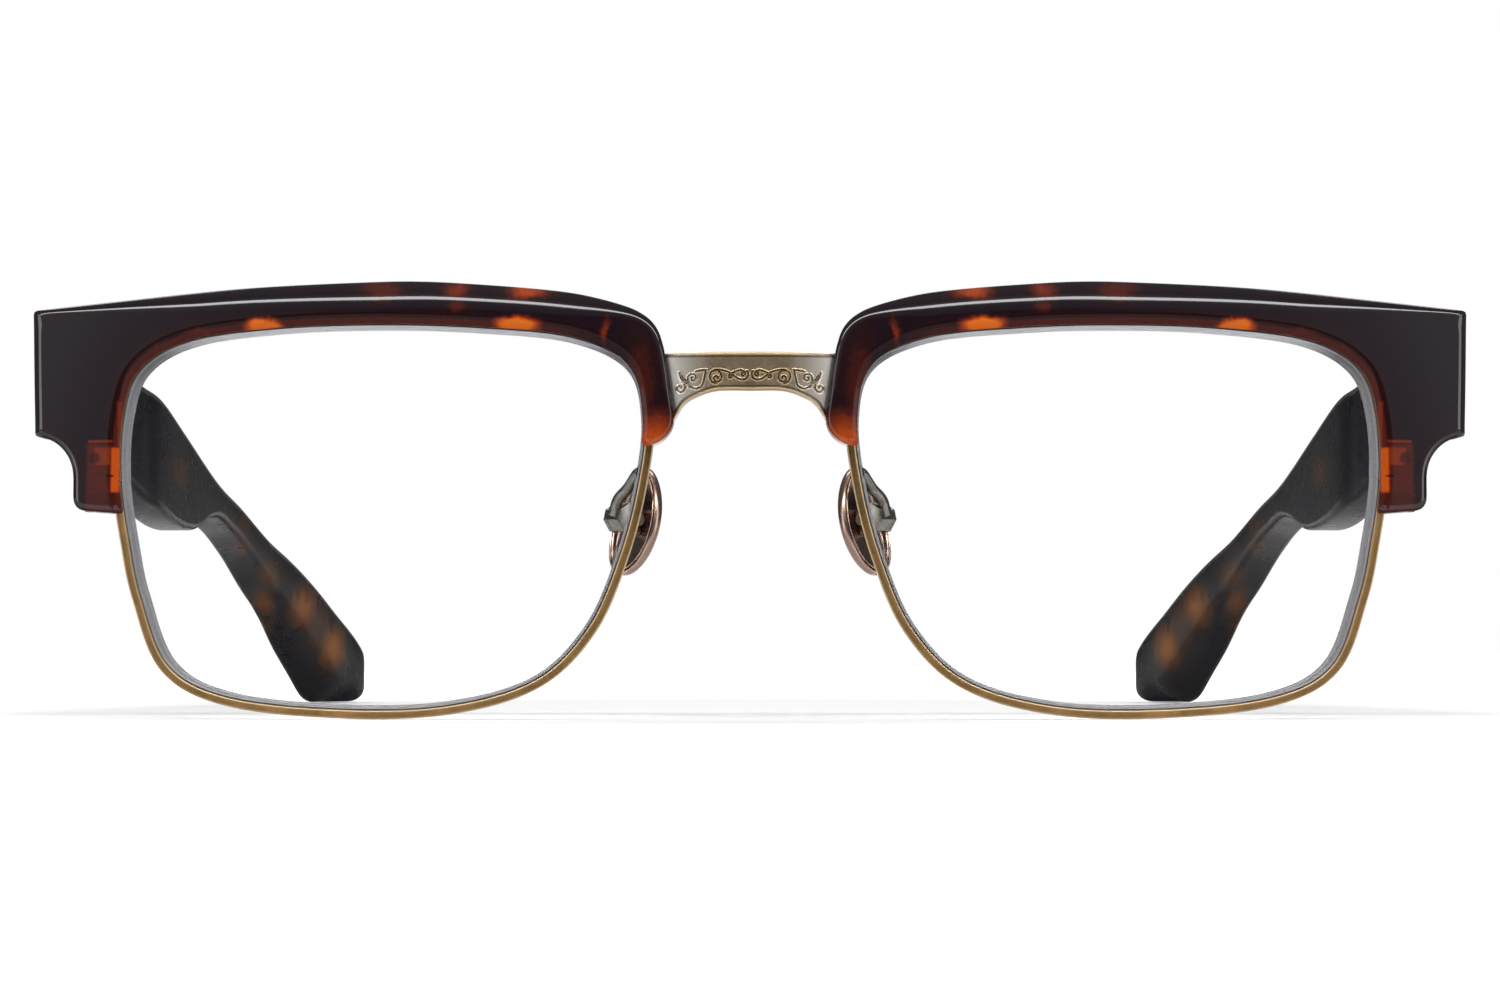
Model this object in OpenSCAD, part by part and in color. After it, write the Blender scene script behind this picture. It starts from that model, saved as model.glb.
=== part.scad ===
// Browline eyeglasses: acetate brow bars over full metal rims, an engraved plate bridge,
// rocking nose pads, and acetate temples on five-barrel hinges.
// X runs across the front, -Y is the way the wearer looks, Z is up. The glasses stand open on a
// table at Z = 0. Each module draws the wearer's right side (X below 0) and left() mirrors it.

/* [Lens] */
// Boxed width of a lens, over its bevel
lens_w = 54.1; // [50:0.1:57]
// Boxed height of a lens, over its bevel
lens_h = 39.6; // [36:0.1:42]
// Distance between the two lenses
lens_gap = 20; // [18:0.5:24]
// Thickness of a lens
lens_t = 1.9; // [1.6:0.1:2.2]
// Height of the bevel round a lens
bevel_h = 0.45; // [0.35:0.05:0.5]
// Width of that bevel
bevel_t = 0.8; // [0.6:0.05:0.9]
// Radius of the front's curve
base_r = 130; // [115:1:180]
// Distance from a lens centre to the foremost point of that curve, towards the nose
wrap_x = 7.2; // [4:0.1:9]

/* [Rim] */
// Width of a rim, seen from the front
rim_w = 0.9; // [0.8:0.05:1.1]
// Depth of a rim, front to back
rim_d = 2.4; // [2.3:0.1:2.8]
// Height of the split where a rim opens to take its lens
split_gap = 0.2; // [0.1:0.05:0.4]
// Height of a closing block, above or below the split
block_h = 3.1; // [2.9:0.1:3.4]
// Width of a closing block
block_w = 2.6; // [2.4:0.1:2.8]
// Radius of the closing screws and brow screws
small_screw_r = 0.45; // [0.35:0.05:0.5]

/* [Brow bar] */
// Width of the whole front, over both end pieces
front_w = 146.2; // [144:0.2:150]
// Height of a brow bar above the lens
brow_rise = 4.35; // [3.8:0.05:5.2]
// Height of an end piece
end_h = 12.9; // [12.2:0.1:13.6]
// Drop of an end piece's top below the crown of the brow
end_drop = 2.55; // [1.8:0.05:3.2]
// Thickness of the acetate in front of the rim
brow_front = 1.3; // [1.1:0.05:1.6]
// Thickness of the acetate behind the front of the rim
brow_back = 3.3; // [3:0.05:3.8]
// Depth from the front's curve to the flat back of the end pieces
end_y = 11.5; // [11:0.1:12.5]
// Width of the nose end of a brow bar
nose_end_w = 2.85; // [2.4:0.05:3.4]
// Height of the nose end of a brow bar, below the crown
nose_end_h = 16.65; // [15.5:0.05:18]
// Width of the lobe below an end piece
lobe_w = 4.8; // [4.5:0.1:5.4]
// Height of the lobe below an end piece
lobe_h = 7.6; // [7:0.1:8.2]

/* [Bridge] */
// Height of the bridge at its middle
bridge_h = 3.85; // [3.2:0.05:4.6]
// Drop of the bridge's top below the crown of the brow
bridge_drop = 7.2; // [6.4:0.1:8]
// Thickness of the bridge plate
bridge_t = 1.5; // [1.3:0.1:1.8]
// Radius of the bridge's forward bow
bridge_r = 26; // [22:1:34]
// Depth from the front's curve to the middle of the bridge
bridge_y = 0.6; // [0.4:0.05:1]

/* [Hinge] */
// Height of one hinge barrel
barrel_h = 1.5; // [1.3:0.05:1.6]
// Radius of the hinge barrels
barrel_r = 1.35; // [1.25:0.05:1.4]
// Radius of the hinge screw
screw_r = 0.7; // [0.6:0.05:0.75]
// Thickness of the hinge plates
plate_t = 0.8; // [0.7:0.05:0.9]
// Length of the temple's hinge plate
plate_l = 7; // [6:0.5:9]

/* [Temple] */
// Length of a temple from the end piece to its tip, measured straight back
temple_l = 140; // [135:0.5:146]
// Thickness of a temple at the hinge
temple_t = 4.4; // [4.2:0.1:4.8]
// Thickness of a temple at its tip
tip_t = 5.2; // [4.6:0.1:5.8]
// Inward turn of a temple's tip
temple_in = 17; // [14:0.2:19]
// Width of the core wire
core_w = 1.2; // [1:0.1:1.6]
// Height of the core wire
core_h = 2; // [1.6:0.1:2.4]

/* [Nose pads] */
// Height of a nose pad
pad_h = 11.4; // [10:0.2:12.6]
// Width of a nose pad
pad_w = 7.6; // [6.6:0.1:8.2]
// Thickness of a nose pad
pad_t = 0.8; // [0.6:0.05:1]
// Distance between the centres of the pads
pad_gap = 23; // [21:0.5:25]
// Height of the pads' centres above the table
pad_z = 19.9; // [18.5:0.1:21.5]
// Depth from the front's curve to the pads' centres
pad_y = 9; // [8:0.1:9.6]
// Splay of a pad, seen from above
pad_splay = 35; // [28:1:38]
// Lean of a pad, seen from the front
pad_lean = 13; // [9:1:16]
// Radius of a pad arm's wire
arm_r = 0.6; // [0.5:0.05:0.65]
// Radius of the screw that holds a pad
pin_r = 0.35; // [0.3:0.05:0.4]

/* [Hidden] */
$fn = 48;
metal = "#8a7350";
steel = "#8c8780";
rose = "#9a7560";
tortoise = "#3a1c14";
gap = 0.05;          // between pieces that are fixed together
run_gap = 0.03;      // round a shaft that turns in its bore
face_gap = 0.06;     // between faces that slide past each other
steps = 5;           // points on each stretch of a smooth outline
reach = 40;          // longer than any cut has to be

// ---- smooth outlines ----
// A smooth curve from b to c, at t from 0 to 1, with a and d as its neighbours
function through(a, b, c, d, t) =
    b + t / 2 * ((c - a) + t * ((2 * a - 5 * b + 4 * c - d) + t * (3 * (b - c) + d - a)));
function ring_at(keys, e) = let (n = len(keys), k = floor(e))
    through(keys[(k + n - 1) % n], keys[k % n], keys[(k + 1) % n], keys[(k + 2) % n], e - k);
function stretch_at(keys, e) = let (last = len(keys) - 1, k = min(floor(e), last - 1))
    through(keys[max(k - 1, 0)], keys[k], keys[k + 1], keys[min(k + 2, last)], e - k);
function stretch(keys) = [for (i = [0:steps * (len(keys) - 1)]) stretch_at(keys, i / steps)];
// An arc about c from angle a to angle b
function arc(c, r, a, b) = [for (i = [0:6]) let (q = a + (b - a) * i / 6) c + r * [cos(q), sin(q)]];

// ---- the lens opening, seen from the front ----
eye_hw = lens_w / 2 - bevel_h;
eye_hh = lens_h / 2 - bevel_h;
eye_x = -(lens_gap + lens_w) / 2;
eye_z = eye_hh + rim_w;
// Points of the opening as shares of its half width and half height, from the nose over the top
eye_shape = [
    [0.998, 0.52], [0.94, 0.79], [0.72, 0.935], [0.36, 0.985], [0, 1],
    [-0.38, 0.985], [-0.73, 0.925], [-0.925, 0.78], [-0.99, 0.54], [-1, 0.2],
    [-0.965, -0.14], [-0.92, -0.42], [-0.816, -0.775], [-0.588, -0.938], [-0.18, -1],
    [0.24, -0.985], [0.579, -0.852], [0.782, -0.58], [0.901, -0.21], [0.972, 0.17]];
eye_keys = [for (p = eye_shape) [eye_x + p.x * eye_hw, eye_z + p.y * eye_hh]];
eye_n = len(eye_shape);
// Outline of the opening, moved outwards by out
function eye_outline(out) = [for (i = [0:eye_n * steps - 1])
    let (e = i / steps + eye_n, d = ring_at(eye_keys, e + 0.02) - ring_at(eye_keys, e - 0.02))
    ring_at(eye_keys, e) + out * [d.y, -d.x] / norm(d)];

// ---- the curved front ----
curve_x = eye_x + wrap_x;
// How far the front's curve lies back at a point of the front view
function depth(p) = base_r - sqrt(base_r * base_r - pow(p.x - curve_x, 2) - pow(p.y - eye_z, 2));
// Extrudes an outline of the front view from depth y0 to depth y1
module front_slab(y0, y1) translate([0, y1, 0]) rotate([90, 0, 0]) linear_extrude(y1 - y0) children();
// The same, between two surfaces that follow the front's curve
module curved_slab(y0, y1) intersection() {
    front_slab(-reach / 4, reach) children();
    translate([curve_x, base_r, eye_z]) difference() {
        sphere(base_r - y0, $fn = 240);
        sphere(base_r - y1, $fn = 240);
    }
}

// ---- where pieces stand ----
crown_z = eye_z + eye_hh + brow_rise;
end_x = -front_w / 2;
end_top = crown_z - end_drop;
end_bottom = end_top - end_h;
lobe_bottom = end_bottom - lobe_h;
lobe_x = eye_x - eye_hw - lobe_w;
nose_x = eye_x + eye_hw + nose_end_w;
temple_y = end_y + 2 * gap;
tip_y = temple_y + temple_l;
front_y = min(bridge_y, base_r - sqrt(pow(base_r + brow_front, 2) - pow(eye_hh, 2)));
mid_y = (front_y + tip_y) / 2;
module placed() translate([0, -mid_y, 0]) children();
module left() mirror([1, 0, 0]) children();

// ---- rims and lenses ----
groove_y = rim_d / 2;
split_z = eye_z + 0.19 * eye_hh;
block_x = eye_x - eye_hw - rim_w;
block_back = 0.2;    // how far the closing blocks lie behind the rim's front
block_off = 0.1;     // how far the blocks' outer part stands off the rim
block_d = rim_d;
block_y = depth([block_x, split_z]) + block_back;
lock_x = block_x - block_w / 2 - block_off;
lock_y = block_y + block_d / 2;

module split_cut() translate([block_x - reach / 4, 0, split_z - split_gap / 2])
    cube([reach / 2, reach / 2, split_gap]);

module rim() color(metal) difference() {
    curved_slab(0, rim_d) polygon(eye_outline(rim_w));
    curved_slab(-1, rim_d + 1) polygon(eye_outline(0));
    curved_slab(groove_y - bevel_t / 2 - gap, groove_y + bevel_t / 2 + gap)
        polygon(eye_outline(bevel_h + gap));
    split_cut();
}

module lens() color("lightcyan", 0.35) union() {
    curved_slab(groove_y - lens_t / 2, groove_y + lens_t / 2) polygon(eye_outline(-gap));
    curved_slab(groove_y - bevel_t / 2, groove_y + bevel_t / 2) polygon(eye_outline(bevel_h));
}

// ---- brow bars ----
// Top edge as shares of the way from the end piece to the nose end, with the drop below the crown
top_shape = [
    [0, 1], [0.14, 0.68], [0.33, 0.25], [0.52, 0.03], [0.61, 0], [0.7, 0.12], [0.8, 0.32],
    [0.86, 0.53], [0.92, 0.93], [0.952, 1.3], [0.973, 1.85], [0.984, 2.7], [0.992, 4]];
brow_top = [for (p = top_shape) [end_x + p.x * (nose_x - end_x), crown_z - p.y * end_drop]];
nose_end_r = 3;      // radius of the nose end's lower corner
notch_r = 4.2;       // radius of the notch under the end piece
lobe_r = 1.2;        // radius of the lobe's lower corner
lobe_rise = 0.4;     // how far the lobe's underside drops towards the lens
end_taper = 0.5;     // how far the end piece's side leans in at its foot
end_lap = 6.2;       // how far the deep end block runs in past the lobe's side
end_under = 1;       // how far the deep end block runs down behind the notch
end_w = lobe_x + end_lap - end_x;

module brow_outline() difference() {
    polygon(concat(stretch(brow_top),
        arc([nose_x - nose_end_r, crown_z - nose_end_h + nose_end_r], nose_end_r, 0, -90),
        [[eye_x, eye_z + eye_hh / 2], [eye_x - 0.8 * eye_hw, eye_z],
         [eye_x - 0.9 * eye_hw, lobe_bottom - lobe_rise], [eye_x - eye_hw, lobe_bottom - lobe_rise]],
        arc([lobe_x + lobe_r, lobe_bottom + lobe_r], lobe_r, -90, -180),
        arc([lobe_x - notch_r, end_bottom - notch_r], notch_r, 0, 90),
        [[end_x + end_taper, end_bottom]]));
    polygon(eye_outline(0));
}

// Room in the brow bar for the metal behind it
module brow_pockets() {
    curved_slab(-gap, reach) polygon(eye_outline(rim_w + gap));
    translate([lock_x - block_w / 2 - gap, block_y - gap, split_z - block_h - split_gap])
        cube([block_w + rim_w, reach, 2 * block_h + 2 * split_gap]);
    bridge_shape(gap, reach);
    brow_screws_shape(gap);
    foot_at() front_foot(gap);
}

module brow_bar() color(tortoise) difference() {
    intersection() {
        union() {
            curved_slab(-brow_front, brow_back) brow_outline();
            intersection() {
                curved_slab(-brow_front, reach) brow_outline();
                translate([end_x - gap, 0, end_bottom - end_under])
                    cube([end_w + gap, end_y, end_h + end_under + end_drop]);
            }
        }
        translate([2 * end_x, end_y - reach, 0]) cube([-2 * end_x, reach, 2 * crown_z]);
    }
    brow_pockets();
}

// ---- bridge ----
bridge_top = crown_z - bridge_drop;
bridge_low = 2.9;    // how far the ends reach below the middle
// Lower edge of the plate as shares of the way to the rim, with the drop below the middle
bridge_under = [[0, 0], [0.32, 0.01], [0.52, 0.24], [0.63, 0.5], [0.71, 0.93], [0.76, 1.3]];
rim_side = -eye_x - eye_hw;
bridge_foot = bridge_top - bridge_h - bridge_under[len(bridge_under) - 1].y * bridge_low;

// The plate from the front, grown by grow; the rims trim its ends
module bridge_outline(grow) {
    middle = bridge_top - bridge_h - grow;
    under = [for (p = stretch(bridge_under)) [p.x * rim_side, middle - p.y * bridge_low]];
    side = rim_side + rim_w;
    difference() {
        polygon(concat([for (i = [len(under) - 1:-1:1]) [-under[i].x, under[i].y]], under,
            [[side, bridge_foot - grow], [side, bridge_top + grow], [-side, bridge_top + grow],
             [-side, bridge_foot - grow]]));
        for (m = [0, 1]) mirror([m, 0]) polygon(eye_outline(rim_w + gap / 5));
    }
}

// The bridge plate, or the room it needs: grown by grow and run back by extra
module bridge_shape(grow, extra) intersection() {
    front_slab(-reach / 4, reach) bridge_outline(grow);
    translate([0, bridge_y + bridge_r, 0]) difference() {
        cylinder(r = bridge_r + grow, h = crown_z, $fn = 240);
        translate([0, extra, -1]) cylinder(r = bridge_r - bridge_t, h = crown_z + 2, $fn = 240);
    }
}

module bridge() color(metal) difference() {
    bridge_shape(0, 0);
    for (m = [0, 1]) mirror([m, 0, 0]) nose_screw_at() {
        cylinder(r = small_screw_r + gap, h = reach / 4);
        mirror([0, 0, 1]) cylinder(r = head_r + gap, h = reach / 4);
    }
}

// ---- brow screws: one through the end lug, one through the end of the bridge ----
head_r = small_screw_r * 1.7;
head_t = 0.4;
brow_bite = 0.7;        // how far the brow screws reach into the acetate
lug_screw_up = 2.25;    // height of the lug's screw above the rim's split
nose_screw_in = 1.15;   // of the bridge's screw from the end of the brow bar
nose_screw_down = 3.4;  // of the bridge's screw below the bridge's top
lug_screw_z = split_z + lug_screw_up;
nose_screw_x = nose_x - nose_screw_in;
nose_screw_z = bridge_top - nose_screw_down;
bridge_back = bridge_y + bridge_r - sqrt(pow(bridge_r - bridge_t, 2) - pow(nose_screw_x, 2));
module nose_screw_at() translate([nose_screw_x, bridge_back, nose_screw_z]) rotate([90, 0, 0]) children();
module lug_screw_at() translate([lock_x, block_y + block_d, lug_screw_z]) rotate([90, 0, 0]) children();
module small_screw(l, grow) {
    translate([0, 0, -head_t - grow]) cylinder(r = head_r + grow, h = head_t + grow);
    cylinder(r = small_screw_r + grow, h = l + grow);
}
module brow_screws_shape(grow) {
    nose_screw_at() small_screw(bridge_t + brow_bite, grow);
    lug_screw_at() small_screw(block_d + brow_bite, grow);
}
module brow_screws() color(steel) brow_screws_shape(0);

// ---- closing blocks and screw ----
closing_head_r = small_screw_r * 1.8;
closing_head_h = 0.6;
closing_well = 1.6;     // depth of the well that the screw's head sits in
closing_bite = 1.35;    // how far the screw reaches into the upper block
module block(z) translate([lock_x - block_w / 2, block_y, z])
    cube([block_w + block_off, block_d, block_h - split_gap / 2]);
module closing_screw_at() translate([lock_x, lock_y, split_z - block_h]) children();

module end_lug() color(metal) difference() {
    block(split_z + split_gap / 2);
    curved_slab(-1, reach) polygon(eye_outline(rim_w));
    closing_screw_at() cylinder(r = small_screw_r, h = block_h + closing_bite + gap);
    lug_screw_at() translate([0, 0, -gap]) cylinder(r = small_screw_r + gap, h = reach);
}

module rim_lock() color(metal) difference() {
    block(split_z - block_h);
    curved_slab(-1, reach) polygon(eye_outline(rim_w));
    closing_screw_at() translate([0, 0, -gap]) cylinder(r = small_screw_r + gap, h = reach);
    closing_screw_at() translate([0, 0, closing_head_h - closing_well])
        cylinder(r = closing_head_r + gap, h = closing_well);
}

module closing_screw() color(steel) closing_screw_at() union() {
    cylinder(r = closing_head_r, h = closing_head_h);
    cylinder(r = small_screw_r, h = block_h + closing_bite);
}

// ---- hinges ----
temple_inset = 0.7;    // of a temple's outer face behind the end piece's side
temple_out = -end_x - temple_inset;
wall_gap = 0.15;       // between a barrel and the faces behind it
axis_x = -temple_out + temple_t + barrel_r + wall_gap;
axis_y = end_y + barrel_r + wall_gap;
hinge_z = end_bottom + end_h / 2;
barrels = 5;
pitch = barrel_h + face_gap;
stack_h = barrels * pitch - face_gap;
bore_room = 0.12;      // round a barrel of the other half
foot_h = 4;
foot_w = 1.6;
foot_d = 2.6;
foot_side = 0.6;       // of the front foot's middle beside the axis
foot_back = 2;         // of the temple foot behind the axis
plate_low = 0.5;       // of the plates below the barrels
plate_side = 0.5;      // of the plates past the axis
plate_w = 2.5;         // width of the front plate
plate_h = stack_h + plate_low;
screw_head_r = barrel_r - 0.15;
screw_head_h = 0.5;
screw_end = 0.2;       // of the screw below the barrels
slot_w = 0.24;

module hinge_at() translate([axis_x, axis_y, hinge_z - stack_h / 2]) children();
module foot_at() translate([axis_x, axis_y, hinge_z]) children();
module barrel(level, r) translate([0, 0, level * pitch]) cylinder(r = r, h = barrel_h);
module barrel_room(level) translate([0, 0, level * pitch - face_gap])
    cylinder(r = barrel_r + bore_room, h = barrel_h + 2 * face_gap);
module bore() translate([0, 0, -reach / 4]) cylinder(r = screw_r + run_gap, h = reach);

// The foot that anchors the front plate in the acetate
module front_foot(grow)
    translate([foot_side - foot_w / 2 - grow, end_y - axis_y - foot_d - grow, -foot_h / 2 - grow])
    cube([foot_w + 2 * grow, foot_d + 2 * grow, foot_h + 2 * grow]);

module hinge_front() color(metal) union() {
    foot_at() front_foot(0);
    hinge_at() difference() {
        union() {
            translate([-plate_side, end_y - axis_y, -plate_low]) cube([plate_w, plate_t, plate_h]);
            for (level = [1, 3]) barrel(level, barrel_r);
        }
        for (level = [0, 2, 4]) barrel_room(level);
        bore();
    }
}

module hinge_screw() color(steel) hinge_at() difference() {
    union() {
        translate([0, 0, -screw_end]) cylinder(r = screw_r, h = stack_h + screw_end + 2 * face_gap);
        translate([0, 0, stack_h + face_gap]) cylinder(r = screw_head_r, h = screw_head_h);
    }
    translate([-reach / 2, -slot_w / 2, stack_h + face_gap + screw_head_h / 2])
        cube([reach, slot_w, screw_head_h]);
}

// The plate on the temple's inner face, with the foot that anchors it in the acetate
module temple_foot(grow) translate([-foot_w - grow, foot_back - grow, -foot_h / 2 - grow])
    cube([foot_w + grow, foot_h + 2 * grow, foot_h + 2 * grow]);
module temple_plate(grow, extra)
    translate([-grow, -plate_side - grow, -stack_h / 2 - plate_low - grow])
    cube([plate_t + grow + extra, plate_l + 2 * grow, plate_h + 2 * grow]);
module temple_face_at() translate([axis_x - barrel_r - wall_gap, axis_y, hinge_z]) children();

module hinge_temple() color(metal) union() {
    temple_face_at() temple_foot(0);
    difference() {
        union() {
            temple_face_at() temple_plate(0, 0);
            hinge_at() for (level = [0, 2, 4]) barrel(level, barrel_r);
        }
        hinge_at() for (level = [1, 3]) barrel_room(level);
        hinge_at() bore();
    }
}

// ---- temples ----
// Edges as [way back as a share of the length, height as a share of the hinge's height]
side_top = [
    [0, 1.17], [0.18, 1.022], [0.34, 0.901], [0.52, 0.773], [0.64, 0.698], [0.745, 0.592],
    [0.81, 0.506], [0.865, 0.418], [0.917, 0.332], [0.955, 0.278]];
side_bar = [[0.94, 0], [0.917, 0.014], [0.881, 0.115], [0.842, 0.206], [0.803, 0.303], [0.767, 0.386],
    [0.703, 0.501], [0.639, 0.578], [0.589, 0.615], [0.531, 0.647]];
side_paddle = [[0.531, 0.647], [0.446, 0.627], [0.381, 0.615], [0.324, 0.612], [0.26, 0.624], [0.203, 0.655],
    [0.139, 0.715], [0.081, 0.784], [0.031, 0.815], [0, 0.821]];
side_core = [[0.06, 0.984], [0.18, 0.864], [0.34, 0.761], [0.52, 0.704], [0.64, 0.638], [0.745, 0.507],
    [0.81, 0.392], [0.9, 0.189]];
tip_r = 4.6;          // radius of the tip, seen from the side
tip_from = 62;        // angle at which the tip's round starts
function side(keys) = [for (p = stretch(keys)) [temple_y + p.x * temple_l, p.y * hinge_z]];
// Inner face as [way back, turn inwards as a share of the tip's]
plan_in = [[0, 0], [0.1, 0.05], [0.18, 0.145], [0.225, 0.22], [0.34, 0.255], [0.52, 0.295], [0.64, 0.355],
    [0.74, 0.46], [0.81, 0.6], [0.92, 0.83], [1, 1]];
function plan(x, turn) = [for (p = stretch(plan_in)) [-x + p.y * turn, temple_y + p.x * temple_l]];
function backwards(list) = [for (i = [len(list) - 1:-1:0]) list[i]];

module side_cut() rotate([90, 0, 90]) translate([0, 0, end_x]) linear_extrude(-end_x) children();

module temple_blank() intersection() {
    side_cut() polygon(concat(side(side_top), arc([tip_y - tip_r, tip_r], tip_r, tip_from, -90),
        side(side_bar), side(side_paddle)));
    linear_extrude(crown_z) polygon(concat(plan(temple_out - temple_t, temple_in),
        backwards(plan(temple_out, temple_in + temple_t - tip_t))));
}

// ---- core wires ----
module core_shape(grow) {
    band = [0, core_h / 2 + grow];
    middle = temple_out - temple_t / 2;
    turn = temple_in + (temple_t - tip_t) / 2;
    half_w = core_w / 2 + grow;
    intersection() {
        side_cut() polygon(concat([for (p = side(side_core)) p + band],
            [for (p = backwards(side(side_core))) p - band]));
        linear_extrude(crown_z) polygon(concat(plan(middle - half_w, turn),
            backwards(plan(middle + half_w, turn))));
    }
}

module temple() color(tortoise) difference() {
    temple_blank();
    core_shape(gap);
    temple_face_at() temple_foot(gap);
    temple_face_at() temple_plate(gap, reach);
}

module core_wire() color(steel) core_shape(0);

// ---- nose pads ----
pad_cup = 20;          // radius of the pad's hollow
boss_h = 1.3;          // half height of the boss behind the pad
boss_w = 0.8;          // half width of the boss
boss_wall = 0.65;      // of the boss behind the pin
cheek_t = 0.6;         // thickness of the box's cheeks
pin_x = -0.95;
pin_head_h = 0.3;
box_back = -3.2;
box_front = -0.55;
box_h = 1.5;
box_lap = 0.3;         // how far the arm's wire runs into the box
arm_up = 4.8;          // height of the arm's foot above the pad's centre
arm_sink = 0.4;        // of the arm's foot in the back of the rim
bend_in = 1.9;         // of the arm's bend from the side of the lens opening
bend_front = 2.6;      // of the bend in front of the pad's centre
bend_up = 3.4;         // of the bend above the pad's centre
bend_r = arm_r * 1.15;
module pad_at() translate([-pad_gap / 2, pad_y, pad_z]) rotate([0, pad_lean, pad_splay]) children();
module pad_pin(r, l) translate([pin_x, -l / 2, 0]) rotate([-90, 0, 0]) cylinder(r = r, h = l);

module nose_pad() color(rose) pad_at() difference() {
    union() {
        intersection() {
            rotate([90, 0, 90]) translate([0, 0, -reach / 8]) linear_extrude(reach / 4)
                polygon([for (i = [0:35]) [pad_w / 2 * cos(i * 10), pad_h / 2 * sin(i * 10)]]);
            translate([pad_t - pad_cup, 0, 0]) difference() {
                sphere(pad_cup, $fn = 120);
                sphere(pad_cup - pad_t, $fn = 120);
            }
        }
        translate([pin_x - boss_wall, -boss_w, -boss_h])
            cube([boss_wall - pin_x + gap, 2 * boss_w, 2 * boss_h]);
    }
    pad_pin(pin_r + run_gap, reach);
}

module pad_screw() color(steel) pad_at() union() {
    pad_pin(pin_r, 2 * (boss_w + cheek_t + face_gap));
    translate([pin_x, -boss_w - cheek_t - face_gap - pin_head_h, 0]) rotate([-90, 0, 0])
        cylinder(r = pin_r * 1.8, h = pin_head_h);
}

// Joins two points with a round rod
module rod(a, b, r) {
    d = b - a;
    translate(a) rotate([0, acos(d.z / norm(d)), atan2(d.y, d.x)]) cylinder(r = r, h = norm(d));
}
box_at = [-pad_gap / 2, pad_y, pad_z] + (box_back + box_lap) * [cos(pad_splay), sin(pad_splay), 0];
arm_z = pad_z + arm_up;
arm_foot = [-rim_side - rim_w / 2, depth([-rim_side, arm_z]) + rim_d - arm_sink, arm_z];
arm_bend = [-rim_side - bend_in, pad_y - bend_front, pad_z + bend_up];

module pad_arm() color(steel) difference() {
    union() {
        rod(arm_foot, arm_bend, arm_r);
        translate(arm_bend) sphere(bend_r);
        rod(arm_bend, box_at, arm_r);
        pad_at() translate([box_back, -boss_w - face_gap - cheek_t, -box_h])
            cube([box_front - box_back, 2 * (boss_w + face_gap + cheek_t), 2 * box_h]);
    }
    translate(arm_foot + [-reach / 2, arm_sink + gap * 2 - reach, -reach / 2]) cube(reach);
    pad_at() translate([2 * pin_x, -boss_w - face_gap, -reach / 2])
        cube([reach / 2, 2 * (boss_w + face_gap), reach]);
    pad_at() pad_pin(pin_r + run_gap, reach / 4);
}

placed() {
    bridge();
    rim();  // right_rim
    lens();  // right_lens
    brow_bar();  // right_brow_bar
    brow_screws();  // right_brow_screws
    end_lug();  // right_end_lug
    rim_lock();  // right_rim_lock
    closing_screw();  // right_closing_screw
    hinge_front();  // right_hinge_front
    hinge_screw();  // right_hinge_screw
    hinge_temple();  // right_hinge_temple
    temple();  // right_temple
    core_wire();  // right_core_wire
    pad_arm();  // right_pad_arm
    nose_pad();  // right_nose_pad
    pad_screw();  // right_pad_screw
    left() rim();  // left_rim
    left() lens();  // left_lens
    left() brow_bar();  // left_brow_bar
    left() brow_screws();  // left_brow_screws
    left() end_lug();  // left_end_lug
    left() rim_lock();  // left_rim_lock
    left() closing_screw();  // left_closing_screw
    left() hinge_front();  // left_hinge_front
    left() hinge_screw();  // left_hinge_screw
    left() hinge_temple();  // left_hinge_temple
    left() temple();  // left_temple
    left() core_wire();  // left_core_wire
    left() pad_arm();  // left_pad_arm
    left() nose_pad();  // left_nose_pad
    left() pad_screw();  // left_pad_screw
}
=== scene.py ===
import math

import bmesh
import bpy
import numpy as np
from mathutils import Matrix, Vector
from mathutils.geometry import delaunay_2d_cdt


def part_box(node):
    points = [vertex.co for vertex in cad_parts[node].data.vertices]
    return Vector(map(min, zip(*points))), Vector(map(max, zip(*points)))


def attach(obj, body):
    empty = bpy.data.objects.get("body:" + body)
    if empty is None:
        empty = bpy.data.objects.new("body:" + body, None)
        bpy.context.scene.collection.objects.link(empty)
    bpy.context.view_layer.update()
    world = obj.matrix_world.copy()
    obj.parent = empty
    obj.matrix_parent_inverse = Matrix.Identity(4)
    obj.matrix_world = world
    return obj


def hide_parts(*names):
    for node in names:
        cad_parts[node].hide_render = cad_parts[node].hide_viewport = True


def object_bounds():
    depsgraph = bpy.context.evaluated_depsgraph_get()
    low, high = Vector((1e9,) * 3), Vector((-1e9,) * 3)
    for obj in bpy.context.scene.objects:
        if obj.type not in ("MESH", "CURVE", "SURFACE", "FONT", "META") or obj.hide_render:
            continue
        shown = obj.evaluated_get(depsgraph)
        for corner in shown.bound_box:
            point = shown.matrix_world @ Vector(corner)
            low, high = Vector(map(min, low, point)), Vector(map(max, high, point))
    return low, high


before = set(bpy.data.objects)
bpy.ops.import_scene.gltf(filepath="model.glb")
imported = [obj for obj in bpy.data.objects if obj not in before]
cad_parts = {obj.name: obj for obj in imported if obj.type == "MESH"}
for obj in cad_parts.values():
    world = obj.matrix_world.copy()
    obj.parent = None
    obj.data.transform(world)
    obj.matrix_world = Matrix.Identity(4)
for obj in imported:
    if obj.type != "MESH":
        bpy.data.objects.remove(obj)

cad_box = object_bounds()

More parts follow.
